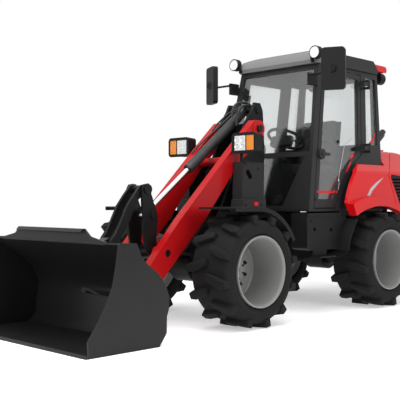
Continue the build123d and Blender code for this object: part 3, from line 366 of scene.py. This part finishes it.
def boxAt(shape, centre, size, bevel=0.0, turn=None, segments=2):
    made = bmesh.ops.create_cube(shape, size=1.0)
    corners = made["verts"]
    for corner in corners:
        corner.co = Vector((corner.co.x * size[0], corner.co.y * size[1], corner.co.z * size[2]))
    if bevel:
        edges = list({edge for corner in corners for edge in corner.link_edges})
        result = bmesh.ops.bevel(
            shape, geom=edges, offset=bevel, segments=segments, profile=0.5, affect="EDGES",
            clamp_overlap=True, material=-1,
        )
        rounded = {corner for face in result["faces"] for corner in face.verts}
        corners = list(rounded | {corner for corner in corners if corner.is_valid})
    place = Matrix.Translation(centre)
    if turn is not None:
        place = place @ turn
    bmesh.ops.transform(shape, matrix=place, verts=corners)


def hexHead(shape, centre, direction, width, depth):
    # a washer under a six-sided head
    direction = Vector(direction).normalized()
    spunDisc(shape, centre, direction, width * 0.72, 0.002, 0.0008, 20)
    spunDisc(shape, Vector(centre) + direction * 0.0018, direction, width * 0.577, depth, depth * 0.18, 6)


def hoseTube(name, points, radius, finish, body):
    line = bpy.data.curves.new(name, "CURVE")
    line.dimensions = "3D"
    line.bevel_depth = radius
    line.bevel_resolution = 5
    line.resolution_u = 10
    line.use_fill_caps = True
    spline = line.splines.new("NURBS")
    spline.points.add(len(points) - 1)
    for place, point in zip(spline.points, points):
        place.co = (*point, 1)
    spline.order_u = 3
    spline.use_endpoint_u = True
    guide = bpy.data.objects.new(name + "Guide", line)
    data = bpy.data.meshes.new_from_object(guide)
    bpy.data.objects.remove(guide)
    data.name = name
    data.materials.clear()
    data.materials.append(materials[finish])
    data.shade_smooth()
    piece = bpy.data.objects.new(name, data)
    bpy.context.scene.collection.objects.link(piece)
    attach(piece, body)
    return piece


def nodeBody(nodeName):
    return body_of(cadNodes[nodeName])[0]


# softened copies of the main plates and castings
softEdges = {"segments": 2, "limit": 38}


def softened(nodeName, width):
    shape = bmesh.new()
    shape.from_mesh(cadNodes[nodeName].data)
    bmesh.ops.remove_doubles(shape, verts=shape.verts, dist=0.00005)
    bmesh.ops.dissolve_limit(shape, angle_limit=math.radians(0.5), verts=shape.verts, edges=shape.edges)
    bmesh.ops.recalc_face_normals(shape, faces=shape.faces)
    data = bpy.data.meshes.new(nodeName + "Soft")
    shape.to_mesh(data)
    shape.free()
    data.shade_smooth()
    data.materials.clear()
    data.materials.append(cadNodes[nodeName].data.materials[0])
    piece = bpy.data.objects.new(nodeName + "Soft", data)
    bpy.context.scene.collection.objects.link(piece)
    bevel = piece.modifiers.new("edges", "BEVEL")
    bevel.width = width
    bevel.segments = softEdges["segments"]
    bevel.limit_method = "ANGLE"
    bevel.angle_limit = math.radians(softEdges["limit"])
    bevel.use_clamp_overlap = True
    bevel.miter_outer = "MITER_ARC"
    weighted = piece.modifiers.new("normals", "WEIGHTED_NORMAL")
    weighted.keep_sharp = False
    weighted.weight = 50
    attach(piece, nodeBody(nodeName))
    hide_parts(nodeName)


# tyres: round carcass with ribs, bevelled lugs bent round the tread
tyreSet = {
    "steps": 120, "lugsASide": 12, "top": 0.4412, "base": 0.380, "draft": 0.007, "bevel": 0.005,
    "lean": 6.71, "wrap": 0.42,
}
# half the carcass from bead to crown, as (distance from the middle plane, radius)
sidewall = [
    (0.168, 0.2835), (0.180, 0.2850), (0.186, 0.2930), (0.189, 0.2960), (0.189, 0.3020),
    (0.1925, 0.3060), (0.1945, 0.3200), (0.1955, 0.3350), (0.1975, 0.3370), (0.1975, 0.3430),
    (0.1950, 0.3450), (0.1935, 0.3600), (0.1890, 0.3760), (0.1800, 0.3910), (0.1660, 0.3990),
    (0.1480, 0.4020), (0.0900, 0.4035), (0.0, 0.4035),
]
# one lug seen from above, as (along the tread, across it)
lugOutline = [
    (-0.052, 0.005), (0.0, 0.005), (0.052, 0.140), (0.052, 0.1985), (0.0, 0.1985), (-0.030, 0.100),
]


def lugMesh(shape, centre, turn, hand):
    piece = bmesh.new()
    middle = Vector((sum(x for x, _ in lugOutline) / 6, sum(y for _, y in lugOutline) / 6, 0))
    outer = []
    for along, across in lugOutline:
        away = (Vector((along, across, 0)) - middle).normalized() * tyreSet["draft"]
        outer.append((along + away.x, min(across + away.y, 0.1995)))
    foot = piece.faces.new([piece.verts.new((along, across, tyreSet["base"])) for along, across in outer])
    grown = bmesh.ops.extrude_face_region(piece, geom=[foot])["geom"]
    top = next(part for part in grown if isinstance(part, bmesh.types.BMFace))
    for corner in top.verts:
        near = min(range(len(outer)), key=lambda index: (corner.co.xy - Vector(outer[index])).length)
        corner.co = (*lugOutline[near], tyreSet["top"])
    rim = list(top.edges) + [edge for corner in top.verts for edge in corner.link_edges]
    bmesh.ops.bevel(
        piece, geom=list(set(rim)), offset=tyreSet["bevel"], segments=3, profile=0.5, affect="EDGES",
        clamp_overlap=True, material=-1,
    )
    for cut in (-0.035, -0.018, 0.0, 0.018, 0.035):
        everything = [*piece.verts, *piece.edges, *piece.faces]
        bmesh.ops.bisect_plane(piece, geom=everything, plane_co=(cut, 0, 0), plane_no=(1, 0, 0))
    for corner in piece.verts:
        along, across, radius = corner.co
        angle = turn + along / tyreSet["wrap"]
        corner.co = centre + Vector((radius * math.sin(angle), hand * across, radius * math.cos(angle)))
    data = bpy.data.meshes.new("lugScratch")
    piece.to_mesh(data)
    piece.free()
    shape.from_mesh(data)
    bpy.data.meshes.remove(data)


def detailedTyre(nodeName, axleHeight):
    low, high = (Vector(corner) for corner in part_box(nodeName))
    centre = (low + high) / 2
    hand = 1 if centre.y > 0 else -1
    shape = bmesh.new()
    profile = sidewall + [(-across, radius) for across, radius in reversed(sidewall[:-1])]
    centre.z = axleHeight
    spunPart(shape, profile, centre, (0, 1, 0), tyreSet["steps"], closed=True)
    for number in range(tyreSet["lugsASide"]):
        turn = math.radians(360.0 / tyreSet["lugsASide"] * number + tyreSet["lean"])
        lugMesh(shape, centre, turn, hand)
        lugMesh(shape, centre, turn + math.pi / tyreSet["lugsASide"], -hand)
    piece = finishPiece(nodeName + "Detail", shape, "tyreRubber", nodeBody(nodeName), 32)
    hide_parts(nodeName)


# rims: turned dish, raised hub and studs
rimSet = {
    "steps": 96, "halfTrack": 0.617, "disc": -0.135, "studs": 10, "studCircle": 0.150,
    "studWidth": 0.024, "bolts": 8, "boltCircle": 0.080, "boltWidth": 0.013,
}


def detailedRim(nodeName, axleHeight):
    low, high = (Vector(corner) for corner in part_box(nodeName))
    centre = (low + high) / 2
    hand = 1 if centre.y > 0 else -1
    centre.z = axleHeight
    centre.y = hand * rimSet["halfTrack"]
    disc = rimSet["disc"]
    profile = [
        (disc, 0.045), (disc, 0.235), (disc - 0.002, 0.240), (-0.178, 0.2665), (-0.180, 0.268),
        (0.178, 0.268), (0.178, 0.2785), (0.180, 0.280), (0.198, 0.280), (0.2005, 0.2785),
        (0.2015, 0.2755), (0.2010, 0.272), (0.195, 0.266), (0.186, 0.2605), (0.170, 0.2575),
        (0.120, 0.2560), (0.112, 0.2535), (0.060, 0.2525), (0.052, 0.2500), (disc + 0.040, 0.2480),
        (disc + 0.024, 0.2440), (disc + 0.018, 0.2360), (disc + 0.018, 0.130), (disc + 0.021, 0.118),
        (disc + 0.030, 0.112), (disc + 0.052, 0.104), (disc + 0.059, 0.098), (disc + 0.062, 0.090),
        (disc + 0.062, 0.070), (disc + 0.059, 0.066), (disc + 0.059, 0.046), (disc + 0.052, 0.044),
    ]
    shape = bmesh.new()
    outline = [(hand * across, radius) for across, radius in profile]
    spunPart(shape, outline, centre, (0, 1, 0), rimSet["steps"], closed=True)
    rim = finishPiece(nodeName + "Detail", shape, "rimPaint", nodeBody(nodeName), 30)
    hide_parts(nodeName)
    hub = bmesh.new()
    face = centre + Vector((0, hand * (disc + 0.0525), 0))
    cap = [
        (-0.012, 0.0435), (0.004, 0.0435), (0.0065, 0.041), (0.0065, 0.030), (0.009, 0.0275),
        (0.009, 0.004),
    ]
    spunPart(hub, cap, face, (0, hand, 0), 48)
    for number in range(rimSet["studs"]):
        turn = 2 * math.pi * number / rimSet["studs"]
        reach = rimSet["studCircle"]
        stud = centre + Vector((reach * math.sin(turn), hand * (disc + 0.018), reach * math.cos(turn)))
        hexHead(hub, stud, (0, hand, 0), rimSet["studWidth"], 0.014)
        spunDisc(hub, stud, (0, hand, 0), 0.0065, 0.024, 0.001, 12)
    for number in range(rimSet["bolts"]):
        turn = 2 * math.pi * (number + 0.5) / rimSet["bolts"]
        reach = rimSet["boltCircle"]
        bolt = centre + Vector((reach * math.sin(turn), hand * (disc + 0.0615), reach * math.cos(turn)))
        hexHead(hub, bolt, (0, hand, 0), rimSet["boltWidth"], 0.007)
    finishPiece(nodeName + "Studs", hub, "castIron", nodeBody(nodeName), 40)


for end in ("front", "rear"):
    for side in ("left", "right"):
        wheel = f"{end}_{side}"
        rimLow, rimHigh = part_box("rim_" + wheel)
        axleHeight = (rimLow[2] + rimHigh[2]) / 2
        detailedTyre("tyre_" + wheel, axleHeight)
        detailedRim("rim_" + wheel, axleHeight)
print("stage: wheels")


# thin paint and tape laid on a CAD surface, seen from one side
def surfaceOf(*nodeNames):
    shape = bmesh.new()
    for nodeName in nodeNames:
        shape.from_mesh(cadNodes[nodeName].data)
    tree = BVHTree.FromBMesh(shape)
    shape.free()
    return tree


def landing(tree, x, z, hand):
    hit = tree.ray_cast(Vector((x, hand * 2.0, z)), Vector((0, -hand, 0)), 3.0)
    return hit[0]


def tapeLine(name, finish, body, tree, points, width, hand=1, lift=0.0009, step=0.02):
    # points in (x, z); the tape is width wide and follows the surface
    stations = []
    for start, end in zip(points[:-1], points[1:]):
        start, end = Vector(start), Vector(end)
        pieces = max(1, int((end - start).length / step))
        for piece in range(pieces):
            stations.append(start.lerp(end, piece / pieces))
    stations.append(Vector(points[-1]))
    rows = []
    for index, station in enumerate(stations):
        before = stations[max(index - 1, 0)]
        after = stations[min(index + 1, len(stations) - 1)]
        along = (after - before).normalized()
        side = Vector((-along.y, along.x)) * width / 2
        row = []
        for edge, proud in ((side, -0.0004), (side, lift), (-side, lift), (-side, -0.0004)):
            place = station + edge
            hit = landing(tree, place.x, place.y, hand)
            if hit is None:
                row = None
                break
            row.append((hit.x, hit.y + hand * proud, hit.z))
        if row:
            rows.append(row)
    shape = bmesh.new()
    drawnBar(shape, rows)
    return finishPiece(name, shape, finish, body, 60)


def paintPatch(name, finish, body, tree, outline, hand=1, lift=0.0008, cell=0.04):
    shape = bmesh.new()
    shape.faces.new([shape.verts.new((x, 0, z)) for x, z in outline])
    for axis in (0, 2):
        low = min(corner.co[axis] for corner in shape.verts)
        high = max(corner.co[axis] for corner in shape.verts)
        normal = Vector((1, 0, 0)) if axis == 0 else Vector((0, 0, 1))
        for cut in range(1, int((high - low) / cell) + 1):
            place = normal * (low + cut * cell)
            everything = [*shape.verts, *shape.edges, *shape.faces]
            bmesh.ops.bisect_plane(shape, geom=everything, plane_co=place, plane_no=normal)
    for corner in shape.verts:
        hit = landing(tree, corner.co.x, corner.co.z, hand)
        if hit is None:
            print("patch", name, "misses at", tuple(round(value, 3) for value in corner.co))
            hit = Vector((corner.co.x, 0, corner.co.z))
        corner.co.y = hit.y + hand * lift
    back = bmesh.ops.extrude_face_region(shape, geom=list(shape.faces))
    for corner in (part for part in back["geom"] if isinstance(part, bmesh.types.BMVert)):
        corner.co.y -= hand * lift * 1.5
    return finishPiece(name, shape, finish, body, 60)


# softened plates, castings and panels
softWidths = {
    "lift_arms": 0.004, "bucket": 0.003, "rear_fenders": 0.006, "hood": 0.006, "side_boxes": 0.005,
    "front_fenders": 0.004, "tower_covers": 0.006, "cab_frame": 0.005, "door_frame": 0.004,
    "cab_roof": 0.008, "roof_fairing": 0.008, "rocker": 0.003, "tilt_link": 0.003,
    "quick_hitch": 0.003, "counterweight": 0.012, "mirrors": 0.008, "front_chassis": 0.003,
    "rear_chassis": 0.003, "tilt_cylinder_barrel": 0.003, "lift_cylinder_barrels": 0.003,
    "front_axle": 0.008, "rear_axle": 0.008, "seat_base_and_console": 0.01, "exhaust": 0.003,
    "work_lamps": 0.002,
}
for nodeName, width in softWidths.items():
    softened(nodeName, width)
print("stage: softened panels")


# stripes on the door and the cab's rear corner, and a blade mark on each rear fender
doorSurface = surfaceOf("door_frame", "door_glass")
cabSurface = surfaceOf("cab_frame", "fixed_windows")
bodySurface = surfaceOf("rear_fenders", "hood")
tapeLine(
    "doorStripeLow", "redPaint", "door", doorSurface, [(-0.438, 1.100), (-0.438, 1.076), (-0.790, 1.076)],
    0.020,
)
tapeLine(
    "doorStripeUp", "redPaint", "door", doorSurface, [(-0.800, 1.070), (-0.905, 1.230), (-1.075, 1.440)],
    0.018,
)
tapeLine(
    "doorLineLight", "silverTape", "door", doorSurface,
    [(-0.782, 1.096), (-0.850, 1.280), (-0.945, 1.520), (-1.090, 1.590)], 0.007,
)
tapeLine(
    "quarterStripe", "redPaint", "rear_frame", cabSurface,
    [(-1.375, 1.560), (-1.425, 1.575), (-1.480, 1.660)], 0.020,
)
for hand, side in ((1, "Left"), (-1, "Right")):
    blade = [
        (-1.105, 1.046), (-1.175, 1.112), (-1.290, 1.172), (-1.425, 1.222), (-1.300, 1.150),
        (-1.200, 1.090), (-1.150, 1.040),
    ]
    paintPatch("fenderBlade" + side, "silverTape", "rear_frame", bodySurface, blade, hand)

# round stops on the door
doorParts = bmesh.new()
for x, z, radius, depth in (
    (-0.848, 1.544, 0.016, 0.010), (-0.430, 1.006, 0.012, 0.008),
):
    spot = landing(doorSurface, x, z, 1)
    if spot is None:
        continue
    spunDisc(doorParts, spot - Vector((0, 0.002, 0)), (0, 1, 0.06), radius, depth, 0.003)
finishPiece("doorStops", doorParts, "blackPlastic", "door")
print("stage: paint lines")


# hoses over the tower and along the tilt cylinder
hoses = [
    (
        "towerHoseA", "front_frame",
        [
            (-0.130, 0.052, 1.560), (-0.185, 0.054, 1.660), (-0.190, 0.055, 1.780),
            (-0.130, 0.056, 1.865), (-0.030, 0.056, 1.878), (0.060, 0.052, 1.862), (0.110, 0.050, 1.810),
            (0.120, 0.050, 1.740),
        ],
        0.011,
    ),
    (
        "towerHoseB", "front_frame",
        [
            (-0.120, 0.082, 1.540), (-0.170, 0.084, 1.640), (-0.175, 0.085, 1.760),
            (-0.120, 0.086, 1.840), (-0.020, 0.086, 1.852), (0.055, 0.084, 1.820), (0.090, 0.082, 1.740),
            (0.090, 0.080, 1.660),
        ],
        0.011,
    ),
    (
        "barrelHoseA", "tilt_barrel",
        [
            (-0.020, 0.026, 1.815), (0.060, 0.030, 1.790), (0.200, 0.034, 1.690), (0.330, 0.034, 1.597),
            (0.460, 0.034, 1.505), (0.560, 0.033, 1.432), (0.590, 0.026, 1.392),
        ],
        0.008,
    ),
    (
        "barrelHoseB", "tilt_barrel",
        [
            (-0.020, -0.026, 1.815), (0.060, -0.030, 1.790), (0.160, -0.034, 1.715),
            (0.240, -0.034, 1.655), (0.280, -0.030, 1.610),
        ],
        0.008,
    ),
]
for name, body, points, radius in hoses:
    hoseTube(name, points, radius, "hoseRubber", body)
print("stage: hoses")


# headlights: four bright rings on the front of each
headlightSet = {"face": 0.3448, "across": (0.315, 0.378), "up": (1.452, 1.506)}
headlightRing = [
    (0, 0.024), (0.0035, 0.0235), (0.0035, 0.0205), (0.0012, 0.017), (0.0006, 0.006), (0.0022, 0.003)
]
workLampRing = [(0, 0.0575), (0.006, 0.0565), (0.0062, 0.0525), (0.002, 0.050), (0.0, 0.049)]
lampParts = bmesh.new()
for hand in (1, -1):
    for across in headlightSet["across"]:
        for up in headlightSet["up"]:
            spunPart(lampParts, headlightRing, (headlightSet["face"], hand * across, up), (1, 0, 0), 24)
finishPiece("headlightRings", lampParts, "chrome", nodeBody("headlights"))
# a round knuckle at the top outer edge of each tower cover
stalks = bmesh.new()
for hand in (1, -1):
    spunDisc(stalks, (0.300, hand * 0.385, 1.306), (0, 0, 1), 0.018, 0.020, 0.003)
finishPiece("headlightKnuckles", stalks, "blackSteel", nodeBody("headlights"))

# rings in the mouths of the two front work lamps, mostly covered by rim and lens
workRings = bmesh.new()
for hand in (1, -1):
    spunPart(workRings, workLampRing, (-0.5005, hand * 0.491, 2.335), (1, 0, 0), 40)
finishPiece("workLampRings", workRings, "chrome", nodeBody("work_lamps"))
print("stage: lamps")


# mirrors: glass faces the driver
mirrorSet = {"toe": 26, "middle": (-0.443, 0.738, 2.150), "depth": 0.0245, "size": (0.002, 0.182, 0.342)}
mirrorFaces = bmesh.new()
for hand in (1, -1):
    toe = math.radians(mirrorSet["toe"])
    back = Vector((-math.cos(toe), -hand * math.sin(toe), 0))
    turn = Matrix.Rotation(hand * toe, 4, "Z")
    along, across, up = mirrorSet["middle"]
    place = Vector((along, hand * across, up)) + back * mirrorSet["depth"]
    boxAt(mirrorFaces, place, mirrorSet["size"], 0.0008, turn)
finishPiece("mirrorGlass", mirrorFaces, "chrome", nodeBody("mirrors"))


# cab: joystick in its gaiter, armrest, display, pedals and grab rail
cabParts = bmesh.new()
stick = [
    (0, 0.042), (0.012, 0.040), (0.018, 0.034), (0.026, 0.036), (0.034, 0.027), (0.044, 0.028),
    (0.052, 0.018), (0.12, 0.010), (0.13, 0.018), (0.17, 0.026), (0.21, 0.025), (0.225, 0.018),
    (0.23, 0.008),
]
spunPart(cabParts, stick, (-0.780, -0.330, 1.330), (0.15, 0, 1), 28)
boxAt(cabParts, (-0.960, -0.330, 1.400), (0.300, 0.085, 0.055), 0.02)
boxAt(
    cabParts, (-0.640, 0.0, 1.560), (0.070, 0.240, 0.110), 0.02,
    Matrix.Rotation(math.radians(-25), 4, "Y"),
)
for across in (-0.12, 0.12):
    boxAt(
        cabParts, (-0.440, across, 1.000), (0.016, 0.075, 0.110), 0.005,
        Matrix.Rotation(math.radians(-35), 4, "Y"),
    )
finishPiece("cabControls", cabParts, "blackPlastic", "rear_frame")
hoseTube(
    "grabRail",
    [
        (-0.600, -0.470, 1.560), (-0.600, -0.440, 1.600), (-0.640, -0.430, 1.900),
        (-0.660, -0.430, 2.000), (-0.680, -0.440, 2.040),
    ],
    0.012, "blackPlastic", "rear_frame",
)
print("stage: cab inside")


# bolts on the side boxes, the tower covers and the rear fenders: body, node, places (x, z), width
bolts = [
    ("rear_frame", "side_boxes", ((-0.300, 0.820), (-0.790, 0.800)), 0.016),
    ("front_frame", "tower_covers", ((0.120, 0.960), (0.320, 0.960), (0.130, 1.270)), 0.014),
    ("rear_frame", "rear_fenders", ((-1.560, 1.400),), 0.012),
]
for body, nodeName, places, width in bolts:
    boltShape = bmesh.new()
    surface = surfaceOf(nodeName)
    for hand in (1, -1):
        for x, z in places:
            spot = landing(surface, x, z, hand)
            if spot is not None:
                hexHead(boltShape, spot - Vector((0, hand * 0.001, 0)), (0, hand, 0), width, width * 0.45)
    finishPiece(nodeName + "Bolts", boltShape, "blackSteel", body)
# a red shackle on each side of the tower
shackles = bmesh.new()
for hand in (1, -1):
    boxAt(shackles, (0.196, hand * 0.396, 0.967), (0.050, 0.018, 0.034), 0.006)
finishPiece("towerShackles", shackles, "redPaint", "front_frame")
print("stage: bolts")


# seat: base and back cushions swelled with cloth, sewn channels across the middle
seatSet = {
    "voxel": 0.009, "pressure": 4.0, "frames": 16, "cap": 0.014,
    "seams": (-0.14, -0.07, 0.0, 0.07, 0.14), "seamReach": 0.014, "seamDepth": 0.10,
    "panel": 0.30, "groove": 0.31, "grooveReach": 0.012, "grooveDepth": 0.08,
}
cushions = [
    ("seatBaseCushion", (-1.020, 0.0, 1.290), (0.440, 0.440, 0.100), 0.0),
    ("seatBackCushion", (-1.235, 0.0, 1.565), (0.110, 0.420, 0.480), 8.0),
]


def swelled(name, centre, size, lean):
    shape = bmesh.new()
    boxAt(shape, (0, 0, 0), size, min(size) * 0.36, segments=4)
    data = bpy.data.meshes.new(name)
    shape.to_mesh(data)
    shape.free()
    pad = bpy.data.objects.new(name, data)
    bpy.context.scene.collection.objects.link(pad)
    remesh = pad.modifiers.new("grid", "REMESH")
    remesh.mode = "VOXEL"
    remesh.voxel_size = seatSet["voxel"]
    dense = bpy.data.meshes.new_from_object(pad.evaluated_get(bpy.context.evaluated_depsgraph_get()))
    pad.modifiers.clear()
    pad.data = dense
    start = [corner.co.copy() for corner in dense.vertices]
    cloth = pad.modifiers.new("swell", "CLOTH")
    cloth.settings.use_pressure = True
    cloth.settings.uniform_pressure_force = seatSet["pressure"]
    cloth.settings.effector_weights.gravity = 0
    scene = bpy.context.scene
    for frameNumber in range(1, seatSet["frames"] + 1):
        scene.frame_set(frameNumber)
    shaped = bpy.data.meshes.new_from_object(pad.evaluated_get(bpy.context.evaluated_depsgraph_get()))
    pad.modifiers.clear()
    scene.frame_set(1)
    pad.data = shaped
    place = Matrix.Translation(centre) @ Matrix.Rotation(math.radians(-lean), 4, "Y")
    thinAxis, longAxis = (0, 2) if size[2] > size[0] else (2, 0)
    for corner, origin in zip(pad.data.vertices, start):
        move = corner.co - origin
        if move.length > seatSet["cap"]:
            move = move.normalized() * seatSet["cap"]
        spot = origin + move
        # sewn channels across the middle panel
        along = spot[longAxis]
        inPanel = abs(spot.y) < size[1] * seatSet["panel"]
        for seam in seatSet["seams"]:
            near = abs(along - seam)
            if inPanel and near < seatSet["seamReach"]:
                spot[thinAxis] *= 1 - seatSet["seamDepth"] * (1 - near / seatSet["seamReach"])
        # a groove down each side of the panel
        edge = abs(abs(spot.y) - size[1] * seatSet["groove"])
        if edge < seatSet["grooveReach"]:
            spot[thinAxis] *= 1 - seatSet["grooveDepth"] * (1 - edge / seatSet["grooveReach"])
        corner.co = spot
    pad.data.transform(place)
    pad.data.materials.clear()
    pad.data.materials.append(materials["seatCloth"])
    pad.data.shade_smooth()
    smooth = pad.modifiers.new("smooth", "SUBSURF")
    smooth.levels = 1
    smooth.render_levels = 1
    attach(pad, nodeBody("seat"))


for name, centre, size, lean in cushions:
    swelled(name, centre, size, lean)
seatShell = bmesh.new()
boxAt(seatShell, (-1.020, 0.0, 1.236), (0.420, 0.430, 0.014), 0.005)
boxAt(
    seatShell, (-1.296, 0.0, 1.540), (0.014, 0.400, 0.500), 0.005,
    Matrix.Rotation(math.radians(-8), 4, "Y"),
)
seatBack = finishPiece("seatShell", seatShell, "blackPlastic", nodeBody("seat"))
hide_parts("seat")
print("stage: seat")


# studio: pale floor that only shows the shadow, white backdrop, soft lamps
studio = {
    "floorSize": 60, "floorGrey": 0.9, "floorGlow": 0.42, "fadeFrom": 2.6, "fadeTo": 6.5,
    "worldLight": 0.38,
}
lamps = [
    {"name": "topSoft", "place": (1.5, 1.0, 6.0), "aim": (0, 0, 0.6), "size": 6.0, "watts": 330},
    {"name": "frontSoft", "place": (6.0, 0.5, 3.2), "aim": (0.4, 0, 0.8), "size": 3.5, "watts": 110},
    {"name": "sideSoft", "place": (0.5, 6.5, 3.0), "aim": (-0.4, 0, 1.0), "size": 3.5, "watts": 130},
]


def whiteForViews(tree):
    path = tree.nodes.new("ShaderNodeLightPath")
    seen = tree.nodes.new("ShaderNodeMath")
    seen.operation = "MAXIMUM"
    tree.links.new(path.outputs["Is Camera Ray"], seen.inputs[0])
    tree.links.new(path.outputs["Is Glossy Ray"], seen.inputs[1])
    through = tree.nodes.new("ShaderNodeMath")
    through.operation = "MAXIMUM"
    tree.links.new(seen.outputs[0], through.inputs[0])
    tree.links.new(path.outputs["Is Transmission Ray"], through.inputs[1])
    return through.outputs[0]


world = bpy.data.worlds.new("studioWorld")
bpy.context.scene.world = world
world.use_nodes = True
worldTree = world.node_tree
worldTree.nodes.clear()
worldOut = worldTree.nodes.new("ShaderNodeOutputWorld")
worldMix = worldTree.nodes.new("ShaderNodeMixShader")
worldLight = worldTree.nodes.new("ShaderNodeBackground")
worldLight.inputs["Color"].default_value = (1, 1, 1, 1)
worldLight.inputs["Strength"].default_value = studio["worldLight"]
worldWhite = worldTree.nodes.new("ShaderNodeBackground")
worldWhite.inputs["Color"].default_value = (1, 1, 1, 1)
worldWhite.inputs["Strength"].default_value = 1.0
worldTree.links.new(whiteForViews(worldTree), worldMix.inputs[0])
worldTree.links.new(worldLight.outputs[0], worldMix.inputs[1])
worldTree.links.new(worldWhite.outputs[0], worldMix.inputs[2])
worldTree.links.new(worldMix.outputs[0], worldOut.inputs["Surface"])

floorMesh = bmesh.new()
bmesh.ops.create_grid(floorMesh, x_segments=1, y_segments=1, size=studio["floorSize"] / 2)
floorData = bpy.data.meshes.new("studioFloor")
floorMesh.to_mesh(floorData)
floorMesh.free()
floor = bpy.data.objects.new("studioFloor", floorData)
bpy.context.scene.collection.objects.link(floor)
floorMaterial, floorTree, floorShader = startMaterial("studioFloor")
floorShader.inputs["Base Color"].default_value = (studio["floorGrey"],) * 3 + (1,)
floorShader.inputs["Roughness"].default_value = 0.9
floorShader.inputs["Emission Color"].default_value = (1, 1, 1, 1)
floorShader.inputs["Emission Strength"].default_value = studio["floorGlow"]
# the floor fades into the white backdrop away from the machine
floorPlace = floorTree.nodes.new("ShaderNodeTexCoord")
floorReach = floorTree.nodes.new("ShaderNodeVectorMath")
floorReach.operation = "LENGTH"
floorTree.links.new(floorPlace.outputs["Object"], floorReach.inputs[0])
floorFade = floorTree.nodes.new("ShaderNodeMapRange")
floorFade.interpolation_type = "SMOOTHSTEP"
floorFade.inputs["From Min"].default_value = studio["fadeFrom"]
floorFade.inputs["From Max"].default_value = studio["fadeTo"]
floorTree.links.new(floorReach.outputs["Value"], floorFade.inputs["Value"])
floorClear = floorTree.nodes.new("ShaderNodeBsdfTransparent")
floorMix = floorTree.nodes.new("ShaderNodeMixShader")
floorTree.links.new(floorFade.outputs["Result"], floorMix.inputs[0])
floorTree.links.new(floorShader.outputs[0], floorMix.inputs[1])
floorTree.links.new(floorClear.outputs[0], floorMix.inputs[2])
floorOut = next(node for node in floorTree.nodes if node.type == "OUTPUT_MATERIAL")
floorTree.links.new(floorMix.outputs[0], floorOut.inputs["Surface"])
floorData.materials.append(floorMaterial)

for lamp in lamps:
    light = bpy.data.lights.new(lamp["name"], "AREA")
    light.shape = "DISK"
    light.size = lamp["size"]
    light.energy = lamp["watts"]
    lightObject = bpy.data.objects.new(lamp["name"], light)
    lightObject.location = lamp["place"]
    aim = Vector(lamp["aim"]) - Vector(lamp["place"])
    lightObject.rotation_euler = aim.to_track_quat("-Z", "Y").to_euler()
    bpy.context.scene.collection.objects.link(lightObject)

view = {"place": (5.2495, 4.7826, 0.992), "turn": 45.0, "rise": 0.08, "lens": 71.03}
cameraData = bpy.data.cameras.new("viewCamera")
cameraData.lens = view["lens"]
cameraData.sensor_width = 36
cameraData.clip_end = 200
camera = bpy.data.objects.new("viewCamera", cameraData)
camera.location = view["place"]
camera.rotation_euler = (math.radians(90 + view["rise"]), 0, math.radians(90 + view["turn"]))
bpy.context.scene.collection.objects.link(camera)
bpy.context.scene.camera = camera
bpy.context.scene.view_settings.view_transform = "Standard"
print("stage: studio and camera")
